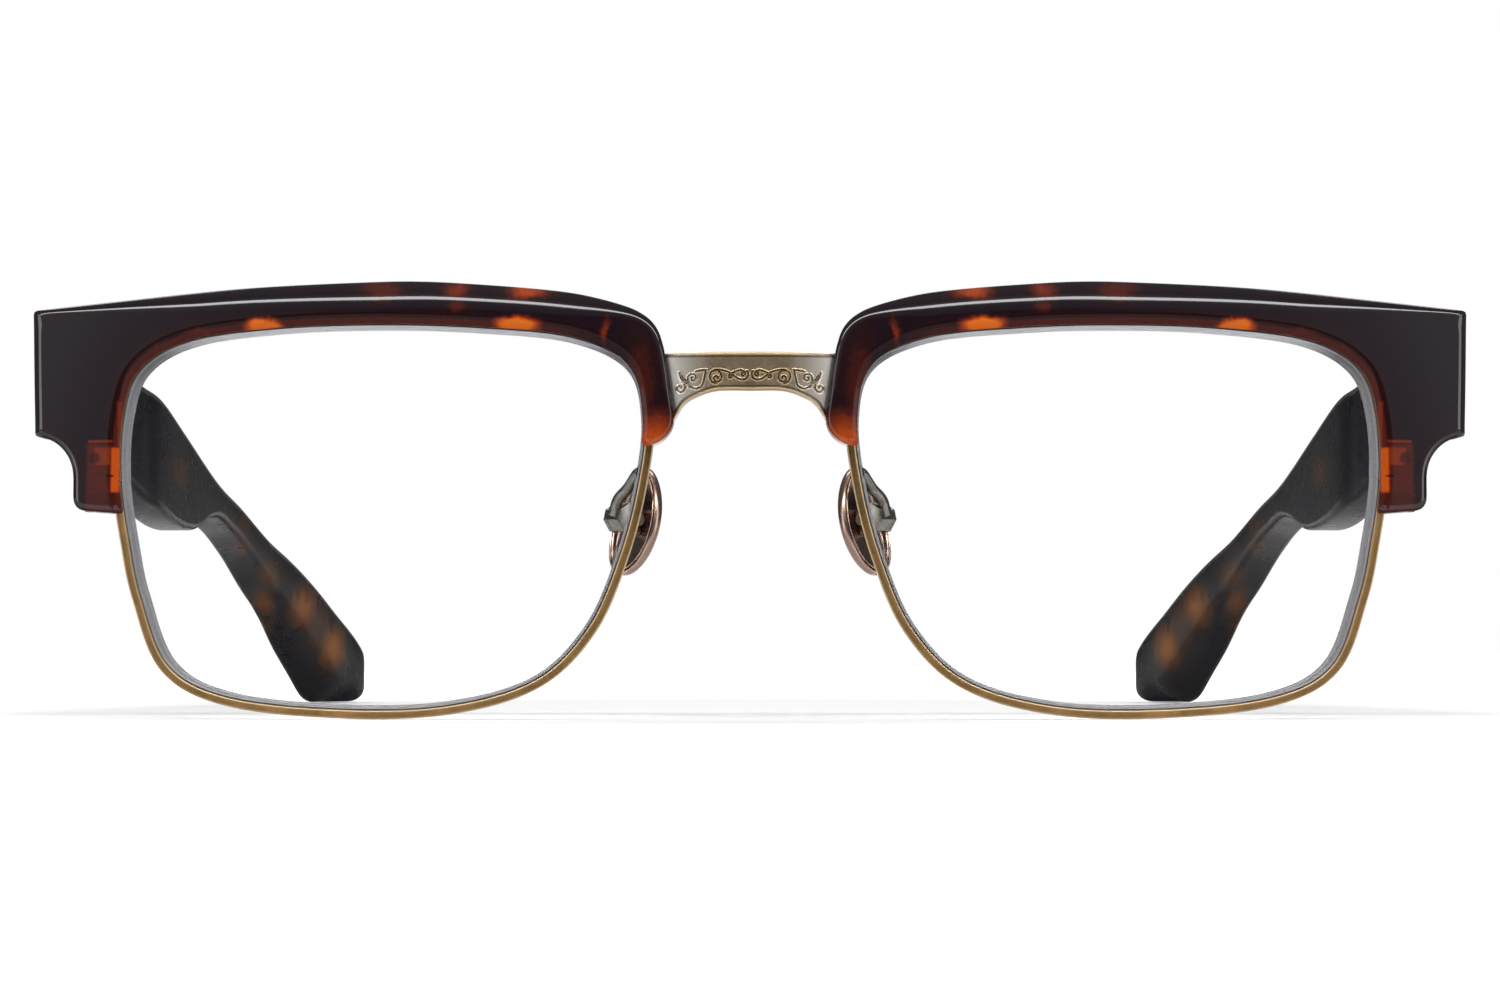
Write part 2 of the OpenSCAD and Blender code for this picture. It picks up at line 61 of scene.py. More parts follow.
# ---- driving sizes, in millimetres, for the right half (X below 0); the left half is its mirror ----
MM = 0.001
LENS_W, LENS_H, LENS_GAP, LENS_T = 54.1, 39.6, 20.0, 1.9
BEVEL_H, BEVEL_T = 0.45, 0.8
BASE_R, WRAP_X = 130.0, 7.2
RIM_W, RIM_D, SPLIT_GAP = 0.9, 2.4, 0.2
FRONT_W, BROW_RISE, BROW_FRONT, BROW_BACK = 146.2, 4.35, 1.3, 3.3
END_H, END_DROP, END_Y, END_TAPER = 12.9, 2.55, 11.5, 0.5
NOSE_END_W, NOSE_END_H, NOSE_END_R = 2.85, 16.65, 3.0
LOBE_W, LOBE_H, LOBE_R, NOTCH_R = 4.8, 7.6, 1.2, 4.2
BRIDGE_H, BRIDGE_DROP, BRIDGE_T, BRIDGE_R, BRIDGE_Y, BRIDGE_LOW = 3.85, 7.2, 1.5, 26.0, 0.6, 2.9
TEMPLE_L, TEMPLE_T, TIP_T, TEMPLE_IN, TIP_LOW_R = 140.0, 4.4, 5.2, 17.0, 3.4
PAD_H, PAD_W, PAD_T, PAD_CUP = 11.4, 7.6, 0.8, 20.0
PAD_GAP, PAD_Z, PAD_Y, PAD_SPLAY, PAD_LEAN = 23.0, 19.9, 9.0, 35.0, 13.0
GAP = 0.05

EYE_HW = LENS_W / 2 - BEVEL_H
EYE_HH = LENS_H / 2 - BEVEL_H
EYE_X = -(LENS_GAP + LENS_W) / 2
EYE_Z = EYE_HH + RIM_W
CURVE_X = EYE_X + WRAP_X
CROWN_Z = EYE_Z + EYE_HH + BROW_RISE
END_X = -FRONT_W / 2
END_TOP = CROWN_Z - END_DROP
END_BOTTOM = END_TOP - END_H
LOBE_BOTTOM = END_BOTTOM - LOBE_H
LOBE_X = EYE_X - EYE_HW - LOBE_W
NOSE_X = EYE_X + EYE_HW + NOSE_END_W
BRIDGE_TOP = CROWN_Z - BRIDGE_DROP
HINGE_Z = END_BOTTOM + END_H / 2
TEMPLE_OUT = FRONT_W / 2 - 0.7
TEMPLE_Y = END_Y + 2 * GAP
TIP_Y = TEMPLE_Y + TEMPLE_L
RIM_SIDE = -EYE_X - EYE_HW
SPLIT_Z = EYE_Z + 0.19 * EYE_HH
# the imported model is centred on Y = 0, so the temple's front end in it gives the shift
SHIFT_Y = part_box("right_temple")[0].y / MM - TEMPLE_Y

# shapes as shares of their sizes: the lens opening, the top and the bridge's underside from the
# front, the temple's top and bottom from the side, its lower facet's height in millimetres, and
# its way inwards from above
EYE_SHAPE = [
    (0.998, 0.52), (0.94, 0.79), (0.72, 0.935), (0.36, 0.985), (0, 1), (-0.38, 0.985),
    (-0.73, 0.925), (-0.925, 0.78), (-0.99, 0.54), (-1, 0.2), (-0.965, -0.14), (-0.92, -0.42),
    (-0.816, -0.775), (-0.588, -0.938), (-0.18, -1), (0.24, -0.985), (0.579, -0.852),
    (0.782, -0.58), (0.901, -0.21), (0.972, 0.17)]
TOP_SHAPE = [
    (0, 1), (0.14, 0.68), (0.33, 0.25), (0.52, 0.03), (0.61, 0), (0.7, 0.12), (0.8, 0.32),
    (0.86, 0.53), (0.92, 0.93), (0.952, 1.3), (0.973, 1.85), (0.984, 2.7), (0.992, 4)]
BRIDGE_UNDER = [(0, 0), (0.32, 0.01), (0.52, 0.24), (0.63, 0.5), (0.71, 0.93), (0.76, 1.3)]
SIDE_TOP = [
    (0, 1.17), (0.18, 1.022), (0.34, 0.901), (0.52, 0.773), (0.64, 0.698), (0.745, 0.592),
    (0.81, 0.512), (0.865, 0.43), (0.917, 0.34), (0.955, 0.276), (0.979, 0.228), (0.993, 0.185),
    (0.9995, 0.125)]
SIDE_BOTTOM = [
    (0, 0.821), (0.031, 0.815), (0.081, 0.784), (0.139, 0.715), (0.203, 0.65), (0.26, 0.61),
    (0.324, 0.59), (0.385, 0.588), (0.43, 0.607), (0.475, 0.634), (0.531, 0.645), (0.589, 0.615),
    (0.639, 0.578), (0.703, 0.501), (0.767, 0.386), (0.803, 0.303), (0.842, 0.19), (0.881, 0.095),
    (0.912, 0.02), (0.93, 0)]
FACET = [(0.7, 0.8), (0.783, 1.2), (0.834, 2.4), (0.887, 3.4), (0.941, 3.0), (0.977, 1.3), (1, 0.9)]
PLAN_IN = [
    (0, 0), (0.1, 0.05), (0.18, 0.145), (0.225, 0.22), (0.34, 0.255), (0.52, 0.295), (0.64, 0.355),
    (0.74, 0.46), (0.81, 0.6), (0.92, 0.83), (1, 1)]


# ---- curves ----
def through(a, b, c, d, t):
    """A smooth curve from b to c, at t from 0 to 1, with a and d as its neighbours."""
    return b + t / 2 * ((c - a) + t * ((2 * a - 5 * b + 4 * c - d) + t * (3 * (b - c) + d - a)))


def ring_at(keys, e):
    n, k = len(keys), math.floor(e)
    return through(keys[(k - 1) % n], keys[k % n], keys[(k + 1) % n], keys[(k + 2) % n], e - k)


def stretch(keys, per=10):
    """A smooth open curve through keys, with per points on each stretch."""
    keys = [np.array(k, float) for k in keys]
    last = len(keys) - 1
    out = []
    for i in range(per * last + 1):
        e = i / per
        k = min(math.floor(e), last - 1)
        out.append(through(keys[max(k - 1, 0)], keys[k], keys[k + 1], keys[min(k + 2, last)], e - k))
    return np.array(out)


def arc(cx, cz, r, start, end, n=10):
    q = np.radians(np.linspace(start, end, n))
    return np.stack([cx + r * np.cos(q), cz + r * np.sin(q)], 1)


def resample(points, gap):
    """The same open line with points about gap apart."""
    points = np.asarray(points, float)
    run = np.concatenate([[0], np.cumsum(np.linalg.norm(np.diff(points, axis=0), axis=1))])
    at = np.linspace(0, run[-1], max(2, round(run[-1] / gap) + 1))
    return np.stack([np.interp(at, run, points[:, i]) for i in range(points.shape[1])], 1)


def along(curve, x):
    """The curve's second coordinate where its first is x."""
    return np.interp(x, curve[:, 0], curve[:, 1])


def unit(vectors):
    return vectors / np.linalg.norm(vectors, axis=1)[:, None]


def skin(x, z, depth):
    """Y of the surface that lies depth behind the front's curve."""
    return BASE_R - np.sqrt((BASE_R - depth) ** 2 - (x - CURVE_X) ** 2 - (z - EYE_Z) ** 2)


EYE_KEYS = [np.array((EYE_X + x * EYE_HW, EYE_Z + z * EYE_HH)) for x, z in EYE_SHAPE]


def eye_points(at):
    """Points of the lens opening and the normals that point away from the lens."""
    points = np.array([ring_at(EYE_KEYS, e) for e in at])
    d = np.array([ring_at(EYE_KEYS, e + 0.02) - ring_at(EYE_KEYS, e - 0.02) for e in at])
    return points, unit(np.stack([d[:, 1], -d[:, 0]], 1))


def tilt(points, normals):
    """How far the front's curve leans inwards for each millimetre back, at the lens's edge."""
    return np.sum((points - (CURVE_X, EYE_Z)) * normals, axis=1) / BASE_R


# ---- meshes ----
def placed(name, data):
    ob = bpy.data.objects.new(name, data)
    bpy.context.scene.collection.objects.link(ob)
    return ob


def skinned(rows, columns):
    """Quads from ring to ring, for rows rings of as many points as columns says."""
    faces = []
    for i in range(rows - 1):
        for j in range(columns):
            a, b = i * columns + j, i * columns + (j + 1) % columns
            faces.append((a, b, b + columns, a + columns))
    return faces


def add_piece(name, verts, faces, body, slot, node, materials, crisp, attributes=None, indices=None):
    """Makes a mesh object from points in the right half's millimetres. Edges sharper than crisp
    degrees stay sharp in its smooth shading."""
    mesh = bpy.data.meshes.new(name)
    points = np.array(verts, float)
    points[:, 1] += SHIFT_Y
    if name.startswith("left_"):
        points[:, 0] *= -1
        faces = [tuple(reversed(f)) for f in faces]
    mesh.from_pydata((points * MM).tolist(), [], [list(map(int, f)) for f in faces])
    for m in materials:
        mesh.materials.append(m)
    if indices is not None:
        mesh.polygons.foreach_set("material_index", np.array(indices, np.int32))
    mesh.polygons.foreach_set("use_smooth", np.full(len(mesh.polygons), True))
    for key, values in (attributes or {}).items():
        layer = mesh.attributes.new(key, "FLOAT", "POINT")
        layer.data.foreach_set("value", np.array(values, np.float32))
    mesh.update()
    sharpen(mesh, crisp)
    ob = placed(name, mesh)
    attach(ob, body)
    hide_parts(node)


def both_sides(name, verts, faces, body, slot, replaces, materials, **more):
    """The piece and its mirror. body has a {} for the side where each side has its own."""
    for side in ("right_", "left_"):
        add_piece(side + name, verts, faces, body.format(side), slot, side + replaces, materials, **more)


def sharpen(mesh, degrees):
    """Keeps edges sharper than this crisp in a smooth-shaded mesh."""
    normals = [p.normal.copy() for p in mesh.polygons]
    by_edge = {}
    for p in mesh.polygons:
        for key in p.edge_keys:
            by_edge.setdefault(key, []).append(p.index)
    limit = math.radians(degrees)
    for e in mesh.edges:
        near = by_edge.get(e.key, [])
        if len(near) == 2:
            a, b = normals[near[0]], normals[near[1]]
            if a.length > 0 and b.length > 0 and a.angle(b) > limit:
                e.use_edge_sharp = True


def capped(rows, columns, flip=False):
    """Quads from row to row of a closed section, and a cap at each end."""
    faces = skinned(rows, columns)
    faces += [tuple(reversed(range(columns))), tuple(range((rows - 1) * columns, rows * columns))]
    return [tuple(reversed(f)) for f in faces] if flip else faces


def fan(verts, faces, n, k, middle):
    """Closes ring k of n points with triangles round a new point."""
    last = len(verts)
    verts.append(middle)
    for j in range(n):
        a, b = k * n + j, k * n + (j + 1) % n
        faces.append((last, a, b) if k else (last, b, a))


def joined(verts, faces, more, more_faces):
    base = len(verts)
    return [*verts, *more], faces + [tuple(base + i for i in f) for f in more_faces]


# ---- materials ----
def new_material(name, **values):
    m = bpy.data.materials.new(name)
    m.use_nodes = True
    shader = m.node_tree.nodes["Principled BSDF"]
    for key, value in values.items():
        shader.inputs[key.replace("_", " ")].default_value = value
    return m, m.node_tree, shader


def node(tree, kind, *ins, **values):
    """A node whose first inputs are linked or set to ins. values are its settings and plain
    inputs by name, with _ for a space."""
    n = tree.nodes.new(kind)
    for key, value in values.items():
        if hasattr(n, key):
            setattr(n, key, value)
        else:
            n.inputs[key.replace("_", " ")].default_value = value
    for value, target in zip(ins, n.inputs):
        if isinstance(value, bpy.types.NodeSocket):
            tree.links.new(value, target)
        else:
            target.default_value = value
    return n


def math_node(tree, operation, *values, clamp=False):
    return node(tree, "ShaderNodeMath", *values, operation=operation, use_clamp=clamp).outputs[0]


def vector_node(tree, operation, *values):
    n = node(tree, "ShaderNodeVectorMath", *values, operation=operation)
    return n.outputs["Value" if operation == "LENGTH" else "Vector"]


def fall(tree, value, start, end, low=0.0, high=1.0, kind="SMOOTHSTEP"):
    """Goes from low to high while value goes from start to end."""
    return node(tree, "ShaderNodeMapRange", value, start, end, low, high,
                interpolation_type=kind).outputs[0]


def parts(tree, vector):
    return node(tree, "ShaderNodeSeparateXYZ", vector).outputs


def mirrored_mm(tree):
    """The piece's own place in millimetres, with both halves of the glasses alike."""
    x, y, z = parts(tree, node(tree, "ShaderNodeTexCoord").outputs["Object"])
    join = node(tree, "ShaderNodeCombineXYZ", math_node(tree, "ABSOLUTE", x), y, z)
    return vector_node(tree, "MULTIPLY", join.outputs[0], [1 / MM] * 3)


def noise(tree, place, scale, detail=3.0, roughness=0.5, color=False):
    n = node(tree, "ShaderNodeTexNoise", place, Scale=scale, Detail=detail, Roughness=roughness)
    return n.outputs["Color" if color else "Fac"]


def ramp(tree, value, stops):
    n = node(tree, "ShaderNodeValToRGB", value)
    while len(n.color_ramp.elements) < len(stops):
        n.color_ramp.elements.new(0.5)
    for e, (at, color) in zip(n.color_ramp.elements, stops):
        e.position = at
        e.color = (*color, 1)
    return n.outputs[0]


def attribute(tree, key):
    return node(tree, "ShaderNodeAttribute", attribute_name=key).outputs["Fac"]


def bump(tree, height, distance, strength, target):
    n = node(tree, "ShaderNodeBump", Strength=strength, Distance=distance)
    tree.links.new(height, n.inputs["Height"])
    tree.links.new(n.outputs[0], target)


def spot(tree, place, centre, size, soft):
    """1 inside an ellipsoid about centre, falling to 0 over soft shares of its size."""
    off = vector_node(tree, "SUBTRACT", place, centre)
    far = vector_node(tree, "LENGTH", vector_node(tree, "DIVIDE", off, size))
    return fall(tree, far, 1 + soft, 1 - soft)


def block(tree, place, centre, size, soft):
    """1 inside a box seen from the front, falling to 0 over soft millimetres outside it."""
    split = parts(tree, place)
    inside = []
    for i in (0, 2):
        far = math_node(tree, "ABSOLUTE", math_node(tree, "SUBTRACT", split[i], centre[i]))
        inside.append(fall(tree, far, size[i] + soft, size[i]))
    return math_node(tree, "MULTIPLY", *inside)


WARP = 0.8        # how far noise moves the spots, in millimetres
# colours of the acetate from its dark ground to its lightest spots
TORTOISE = [
    (0.0, (0.0075, 0.0034, 0.0068)), (0.22, (0.013, 0.004, 0.0045)), (0.42, (0.06, 0.009, 0.006)),
    (0.66, (0.2, 0.028, 0.006)), (0.85, (0.43, 0.065, 0.005)), (1.0, (0.56, 0.115, 0.008))]
AMBER = [
    (0.0, (0.007, 0.006, 0.009)), (0.25, (0.014, 0.009, 0.008)), (0.5, (0.05, 0.02, 0.008)),
    (0.75, (0.1, 0.033, 0.006)), (1.0, (0.2, 0.065, 0.009))]


def tortoise(name, spots, blotch_scale, blotch_from, blotch_to, painted_edge_glow=0.0, boxes=(), marks=(),
             roughness=0.05, specular=0.5, stops=TORTOISE):
    """Dark tortoise acetate: near-black brown with red and amber patches. spots are
    (X, Y, Z, half sizes, strength, softness) in millimetres, boxes and the darker marks
    likewise."""
    material, tree, shader = new_material(name, IOR=1.49, Specular_IOR_Level=specular)
    place = mirrored_mm(tree)
    warp = vector_node(tree, "MULTIPLY_ADD", noise(tree, place, 0.5, 3, 0.55, color=True),
                       [2 * WARP] * 3, [-WARP] * 3)
    moved = vector_node(tree, "ADD", place, warp)
    total = fall(tree, noise(tree, moved, blotch_scale, 2, 0.4), blotch_from, blotch_to, high=0.8)
    for shape, where, rows in ((spot, moved, spots), (block, place, boxes)):
        for x, y, z, size, strength, soft in rows:
            here = shape(tree, where, (-x, y + SHIFT_Y, z), size, soft)
            total = math_node(tree, "MAXIMUM", total, math_node(tree, "MULTIPLY", here, strength))
    for x, y, z, size, strength, soft in marks:
        here = spot(tree, place, (-x, y + SHIFT_Y, z), size, soft)
        total = math_node(tree, "MULTIPLY", total, math_node(tree, "MULTIPLY_ADD", here, -strength, 1.0))
    # painted glow: marked bevels and walls are painted a lighter amber, as light coming through the thin
    # acetate
    if painted_edge_glow:
        painted_glow = math_node(tree, "MULTIPLY", attribute(tree, "painted_glow"), painted_edge_glow)
        total = math_node(tree, "MAXIMUM", total, painted_glow)
    fine = math_node(tree, "MULTIPLY_ADD", noise(tree, place, 2.2, 4, 0.6), 0.16, -0.08)
    total = math_node(tree, "ADD", total, fine, clamp=True)
    tree.links.new(ramp(tree, total, stops), shader.inputs["Base Color"])
    rough = math_node(tree, "MULTIPLY_ADD", noise(tree, place, 0.4, 3), 0.06, roughness)
    tree.links.new(rough, shader.inputs["Roughness"])
    bump(tree, noise(tree, place, 0.2, 1), 0.00002, 0.05, shader.inputs["Normal"])
    return material


def blended(tree, share, color, other):
    """color turning into other, a plain colour, as share goes from 0 to 1."""
    mix = node(tree, "ShaderNodeMix", data_type="RGBA")
    tree.links.new(share, mix.inputs["Factor"])
    tree.links.new(color, mix.inputs[6])
    mix.inputs[7].default_value = (*other, 1)
    return mix.outputs[2]


SILVER = (0.76, 0.73, 0.69)


def metal(name, dark, light, roughness, grain, edge=None, groove=None, grain_depth=0.000012,
          silver_from=None):
    """Brushed, slightly patinated metal. Where the mesh marks them, edges turn a brighter colour,
    partly wear and partly painted highlight, and grooves a darker one, partly patina and partly
    painted shade. Beyond silver_from millimetres from the middle its face turns silver."""
    material, tree, shader = new_material(name, Metallic=1.0)
    place = mirrored_mm(tree)
    fine = noise(tree, place, grain, 5, 0.65)
    broad = math_node(tree, "MULTIPLY", noise(tree, place, 0.4, 3, 0.5), 0.4)
    color = ramp(tree, math_node(tree, "MULTIPLY_ADD", fine, 0.6, broad), [(0.33, dark), (0.64, light)])
    if silver_from:
        out = math_node(tree, "MULTIPLY_ADD", parts(tree, place)[0], 0.25, -0.25 * silver_from, clamp=True)
        color = blended(tree, math_node(tree, "MULTIPLY", out, 0.8), color, SILVER)
    # painted highlight and painted shade: the edge colour goes on marked edges, the groove colour in marked
    # grooves
    if edge:
        color = blended(tree, attribute(tree, "edge"), color, edge)
    if groove:
        color = blended(tree, attribute(tree, "cut"), color, groove)
    tree.links.new(color, shader.inputs["Base Color"])
    rough = math_node(tree, "MULTIPLY_ADD", fine, 0.16, roughness - 0.08)
    tree.links.new(rough, shader.inputs["Roughness"])
    bump(tree, fine, grain_depth, 0.5, shader.inputs["Normal"])
    return material


COATED_IOR = 1.12       # the coating leaves hardly any reflection


def clear_glass(name):
    """Clear, coated lens glass that lets lamp light through to what is behind it."""
    material, tree, shader = new_material(name, Roughness=0.0, Transmission_Weight=1.0, IOR=COATED_IOR)
    coat = ramp(tree, noise(tree, mirrored_mm(tree), 0.08, 2), [(0.35, (1, 1, 1)), (0.65, (0.992, 1, 0.996))])
    tree.links.new(coat, shader.inputs["Base Color"])
    clear = node(tree, "ShaderNodeBsdfTransparent", Color=(0.76, 0.76, 0.77, 1))
    path = node(tree, "ShaderNodeLightPath")
    mix = node(tree, "ShaderNodeMixShader", path.outputs["Is Shadow Ray"], shader.outputs[0],
               clear.outputs[0])
    tree.links.new(mix.outputs[0], tree.nodes["Material Output"].inputs["Surface"])
    return material


PAINTED_LIGHT_Z = 36.6     # where the bevel's painted light along its top begins


def ground_glass(name):
    """The lens's ground bevel: matt grey, with painted light along its top."""
    material, tree, shader = new_material(name, Roughness=0.6)
    place = mirrored_mm(tree)
    grit = noise(tree, place, 6.0, 4, 0.7)
    color = ramp(tree, grit, [(0.3, (0.075, 0.073, 0.079)), (0.7, (0.14, 0.137, 0.145))])
    # painted light: the bevel turns lighter grey towards its top
    high = math_node(tree, "MULTIPLY_ADD", parts(tree, place)[2], 0.5, -0.5 * PAINTED_LIGHT_Z, clamp=True)
    tree.links.new(blended(tree, high, color, (0.4, 0.395, 0.42)), shader.inputs["Base Color"])
    bump(tree, grit, 0.00002, 0.5, shader.inputs["Normal"])
    return material


# ---- camera ----
CAMERA_BACK, CAMERA_Z, AIM_Z = 450.0, 6.85, 21.9


def make_camera():
    data = bpy.data.cameras.new("camera")
    data.sensor_width = 36.0
    data.lens = 108.0
    ob = placed("camera", data)
    ob.location = (0, (SHIFT_Y - CAMERA_BACK) * MM, CAMERA_Z * MM)
    aim = Vector((0, SHIFT_Y * MM, AIM_Z * MM))
    ob.rotation_euler = (aim - ob.location).to_track_quat("-Z", "Y").to_euler()
    data.clip_start, data.clip_end = 0.01, 50
    bpy.context.scene.camera = ob


# ---- rims ----
RIM_SECTION = [  # (outwards, depth, share of the brighter edge colour, partly worn metal and partly painted highlight, or, below 0, of painted shade on the inner wall and in the lens groove), round the section
    (0.0, 0.26, -1), (0.02, 0.12, -0.4), (0.11, 0.03, 0.9), (0.2, 0.0, 0.25), (0.27, 0.02, 0),
    (0.48, 0.0, 0), (0.68, 0.02, 0), (0.76, 0.0, 0.4), (0.84, 0.04, 1), (0.89, 0.12, 0.8),
    (0.9, 0.26, 0.1), (0.9, 0.8, 0), (0.9, 1.6, 0), (0.9, 2.15, 0), (0.87, 2.32, 0.8), (0.76, 2.4, 0.5),
    (0.45, 2.4, 0), (0.14, 2.4, 0.5), (0.03, 2.32, 0.8), (0.0, 2.18, 0.1), (0.0, 1.7, -0.6),
    (0.5, 1.32, -1), (0.5, 1.08, -1), (0.0, 0.7, -1)]


def bright_and_dark(marks):
    """Attributes for metal: the brighter edge colour, partly wear and partly painted highlight, where marks
    are above 0, and the darker groove colour, partly patina and partly painted shade, where below.
    """
    return {"edge": np.clip(marks, 0, 1), "cut": np.clip(np.negative(marks), 0, 1)}


def make_rims(material):
    """Each rim is a grooved wire, split at the temple side between the closing blocks."""
    n, half = 260, SPLIT_GAP / 2
    start = next(e for e in np.arange(8.5, 10.5, 0.002) if ring_at(EYE_KEYS, e)[1] < SPLIT_Z - half)
    end = next(e for e in np.arange(10.5, 8.5, -0.002) if ring_at(EYE_KEYS, e)[1] > SPLIT_Z + half)
    points, normals = eye_points(np.linspace(start, end + len(EYE_KEYS), n))
    verts, edge = [], []
    for p, q, lean in zip(points, normals, tilt(points, normals)):
        for out, depth, bright in RIM_SECTION:
            x, z = p + (out - lean * depth * (1 - 0.6 * out / RIM_W)) * q
            verts.append((x, skin(x, z, depth), z))
            edge.append(bright)
    faces = capped(n, len(RIM_SECTION))
    both_sides("metal_rim", verts, faces, "front", "antique_gold", "rim", [material], crisp=50,
               attributes=bright_and_dark(edge))


# ---- lenses ----
SHELF_W = 0.1     # width of the ground edge where the lens isn't tilted
LENS_FRONT = RIM_D / 2 - LENS_T / 2
LENS_BACK = RIM_D / 2 + LENS_T / 2
EDGE_IN = 0.12    # how far the clear front stops short of the opening
LENS_RINGS = [0.12, 0.25, 0.38, 0.5, 0.62, 0.73, 0.83, 0.91, 0.965]    # shares of the way out


def make_lenses(clear, ground):
    """Curved discs with a ground bevel, skinned from the front's middle round to the back's."""
    n = 200
    points, normals = eye_points(np.linspace(0, len(EYE_KEYS), n, endpoint=False))
    lean = tilt(points, normals)[:, None]
    centre = np.array((EYE_X, EYE_Z))

    def at_edge(out, depth):
        return points + (out - lean * depth) * normals

    inner, back = points - EDGE_IN * normals, at_edge(-GAP - SHELF_W, LENS_BACK)
    # (points of the ring, depth, material of the band after it)
    rings = [(centre + s * (inner - centre), LENS_FRONT, 0) for s in LENS_RINGS]
    rings.append((inner, LENS_FRONT, 1))
    for out, lean_at, depth in (
            (-GAP, LENS_FRONT + 0.08, LENS_FRONT + 0.08), (-GAP, 0.8, RIM_D / 2 - BEVEL_T / 2),
            (BEVEL_H - GAP, 1.1, RIM_D / 2 - 0.08), (BEVEL_H - GAP, 1.3, RIM_D / 2 + 0.08),
            (-GAP, 1.6, RIM_D / 2 + BEVEL_T / 2), (-GAP - 0.02, LENS_BACK - 0.1, LENS_BACK - 0.1)):
        rings.append((at_edge(out, lean_at), depth, 1))
    rings.append((back, LENS_BACK, 0))
    rings += [(centre + s * (back - centre), LENS_BACK, 0) for s in reversed(LENS_RINGS)]
    verts = [(x, skin(x, z, d), z) for ring, d, _ in rings for x, z in ring]
    faces = skinned(len(rings), n)
    indices = [band for _, _, band in rings[:-1] for _ in range(n)]
    for k, d in ((0, LENS_FRONT), (len(rings) - 1, LENS_BACK)):
        fan(verts, faces, n, k, (EYE_X, skin(EYE_X, EYE_Z, d), EYE_Z))
        indices += [0] * n
    both_sides("clear_lens", verts, faces, "front", "clear_lens", "lens", [clear, ground], crisp=20,
               indices=indices)


# ---- brow bars ----
NOSE_LAP = 0.3                   # how much further the bar laps over the lens at the nose
BLOCK_X = LOBE_X + 6.2           # inner side of the end block
BLOCK_Z = END_BOTTOM - 1         # underside of the end block
BLOCK_SLOPE = 0.3                # width of the step from the block to the curved back
TOP_BEVEL = ([0, 0.03, 0.15, 0.26, 0.56, 0.85, 0.95, 1],     # share of the bar's length
             [0.2, 0.25, 0.55, 0.9, 1.3, 1.1, 0.4, 0.25])    # width of the top's bevel
BEVELS = {  # for other parts of the outline: width, height, step of the wall, painted glow of light through the thin edge, softness, reach
    "nasal": (0.3, 0.3, 0, 0, 0.25, 0.45), "lens": (0.75, 0.6, RIM_W + GAP, 1, 1, 0.45),
    "side": (0.4, 0.55, 0, 0, 1, 0.45), "foot": (0.3, 0.3, 0, 0.5, 1, 0.45),
    "lobe": (0.3, 0.3, 0, 0.5, 1, 0.45)}


def brow_outline():
    """The bar's outline from the front, clockwise, with each point's group."""
    top = stretch([(END_X + x * (NOSE_X - END_X), CROWN_Z - z * END_DROP) for x, z in TOP_SHAPE])
    nasal = arc(NOSE_X - NOSE_END_R, CROWN_Z - NOSE_END_H + NOSE_END_R, NOSE_END_R, 0, -82)
    at = np.linspace(-1, 12, 2601)
    eye = np.array([ring_at(EYE_KEYS, e) for e in at])
    eye[:, 0] -= NOSE_LAP * np.clip((eye[:, 0] - EYE_X - EYE_HW + 6) / 5, 0, 1)
    first = next(i for i in range(len(at)) if eye[i][1] > CROWN_Z - NOSE_END_H)
    last = next(i for i in range(len(at) - 1, 0, -1) if eye[i][1] > LOBE_BOTTOM - 0.35)
    lobe = arc(LOBE_X + LOBE_R, LOBE_BOTTOM + LOBE_R, LOBE_R, -90, -180)
    notch = arc(LOBE_X - NOTCH_R, END_BOTTOM - NOTCH_R, NOTCH_R, 0, 90, 14)
    runs = [("top", top), ("nasal", np.concatenate([top[-1:], nasal])),
            ("foot", np.array([nasal[-1], eye[first]])), ("lens", eye[first:last + 1]),
            ("lobe", np.concatenate([eye[last:last + 1], lobe, notch])),
            ("side", np.array([notch[-1], (END_X + END_TAPER, END_BOTTOM), (END_X, END_TOP)]))]
    points, groups = [], []
    for group, run in runs:
        even = resample(run, 0.42)
        points.append(even[:-1])
        groups += [group] * (len(even) - 1)
    points = np.concatenate(points)
    points = 0.5 * points + 0.25 * (np.roll(points, 1, 0) + np.roll(points, -1, 0))
    return points, groups


def smooth_ring(values, times):
    values = np.asarray(values, float)
    for _ in range(times):
        values = 0.5 * values + 0.25 * (np.roll(values, 1) + np.roll(values, -1))
    return values


def inward(points):
    """Mitred normals of a clockwise outline, towards its inside."""
    d = unit(np.roll(points, -1, 0) - points)
    n = np.stack([d[:, 1], -d[:, 0]], 1)
    both = unit(n + np.roll(n, 1, 0))
    reach = 1 / np.maximum(np.sum(both * n, axis=1), 0.6)
    return both * reach[:, None]


def rounded_bevel(width, height, soft_wall, soft_face, soft_reach):
    """A bevel's section as (inset, depth) pairs, from the wall to the face, with both corners
    rounded. width, height and soft_reach, the rounding's reach on to the face, are arrays with
    one value for each point of the outline."""
    slope = np.sqrt(width ** 2 + height ** 2)
    along = np.stack([width / slope, -height / slope])
    corner = np.stack([np.zeros_like(height), height])
    far = np.stack([width, np.zeros_like(width)])
    a = np.minimum(soft_wall, 0.4 * slope)
    b = np.minimum(soft_face, 0.45 * slope)
    start, leave = corner + np.stack([0 * a, a]), corner + a * along
    meet, stop = far - b * along, far + np.stack([soft_reach, 0 * b])
    section = []
    for p0, p1, p2 in ((start, corner, leave), (meet, far, stop)):
        for t in (0, 0.2, 0.4, 0.6, 0.8, 1):
            section.append((1 - t) ** 2 * p0 + 2 * t * (1 - t) * p1 + t * t * p2)
    return section


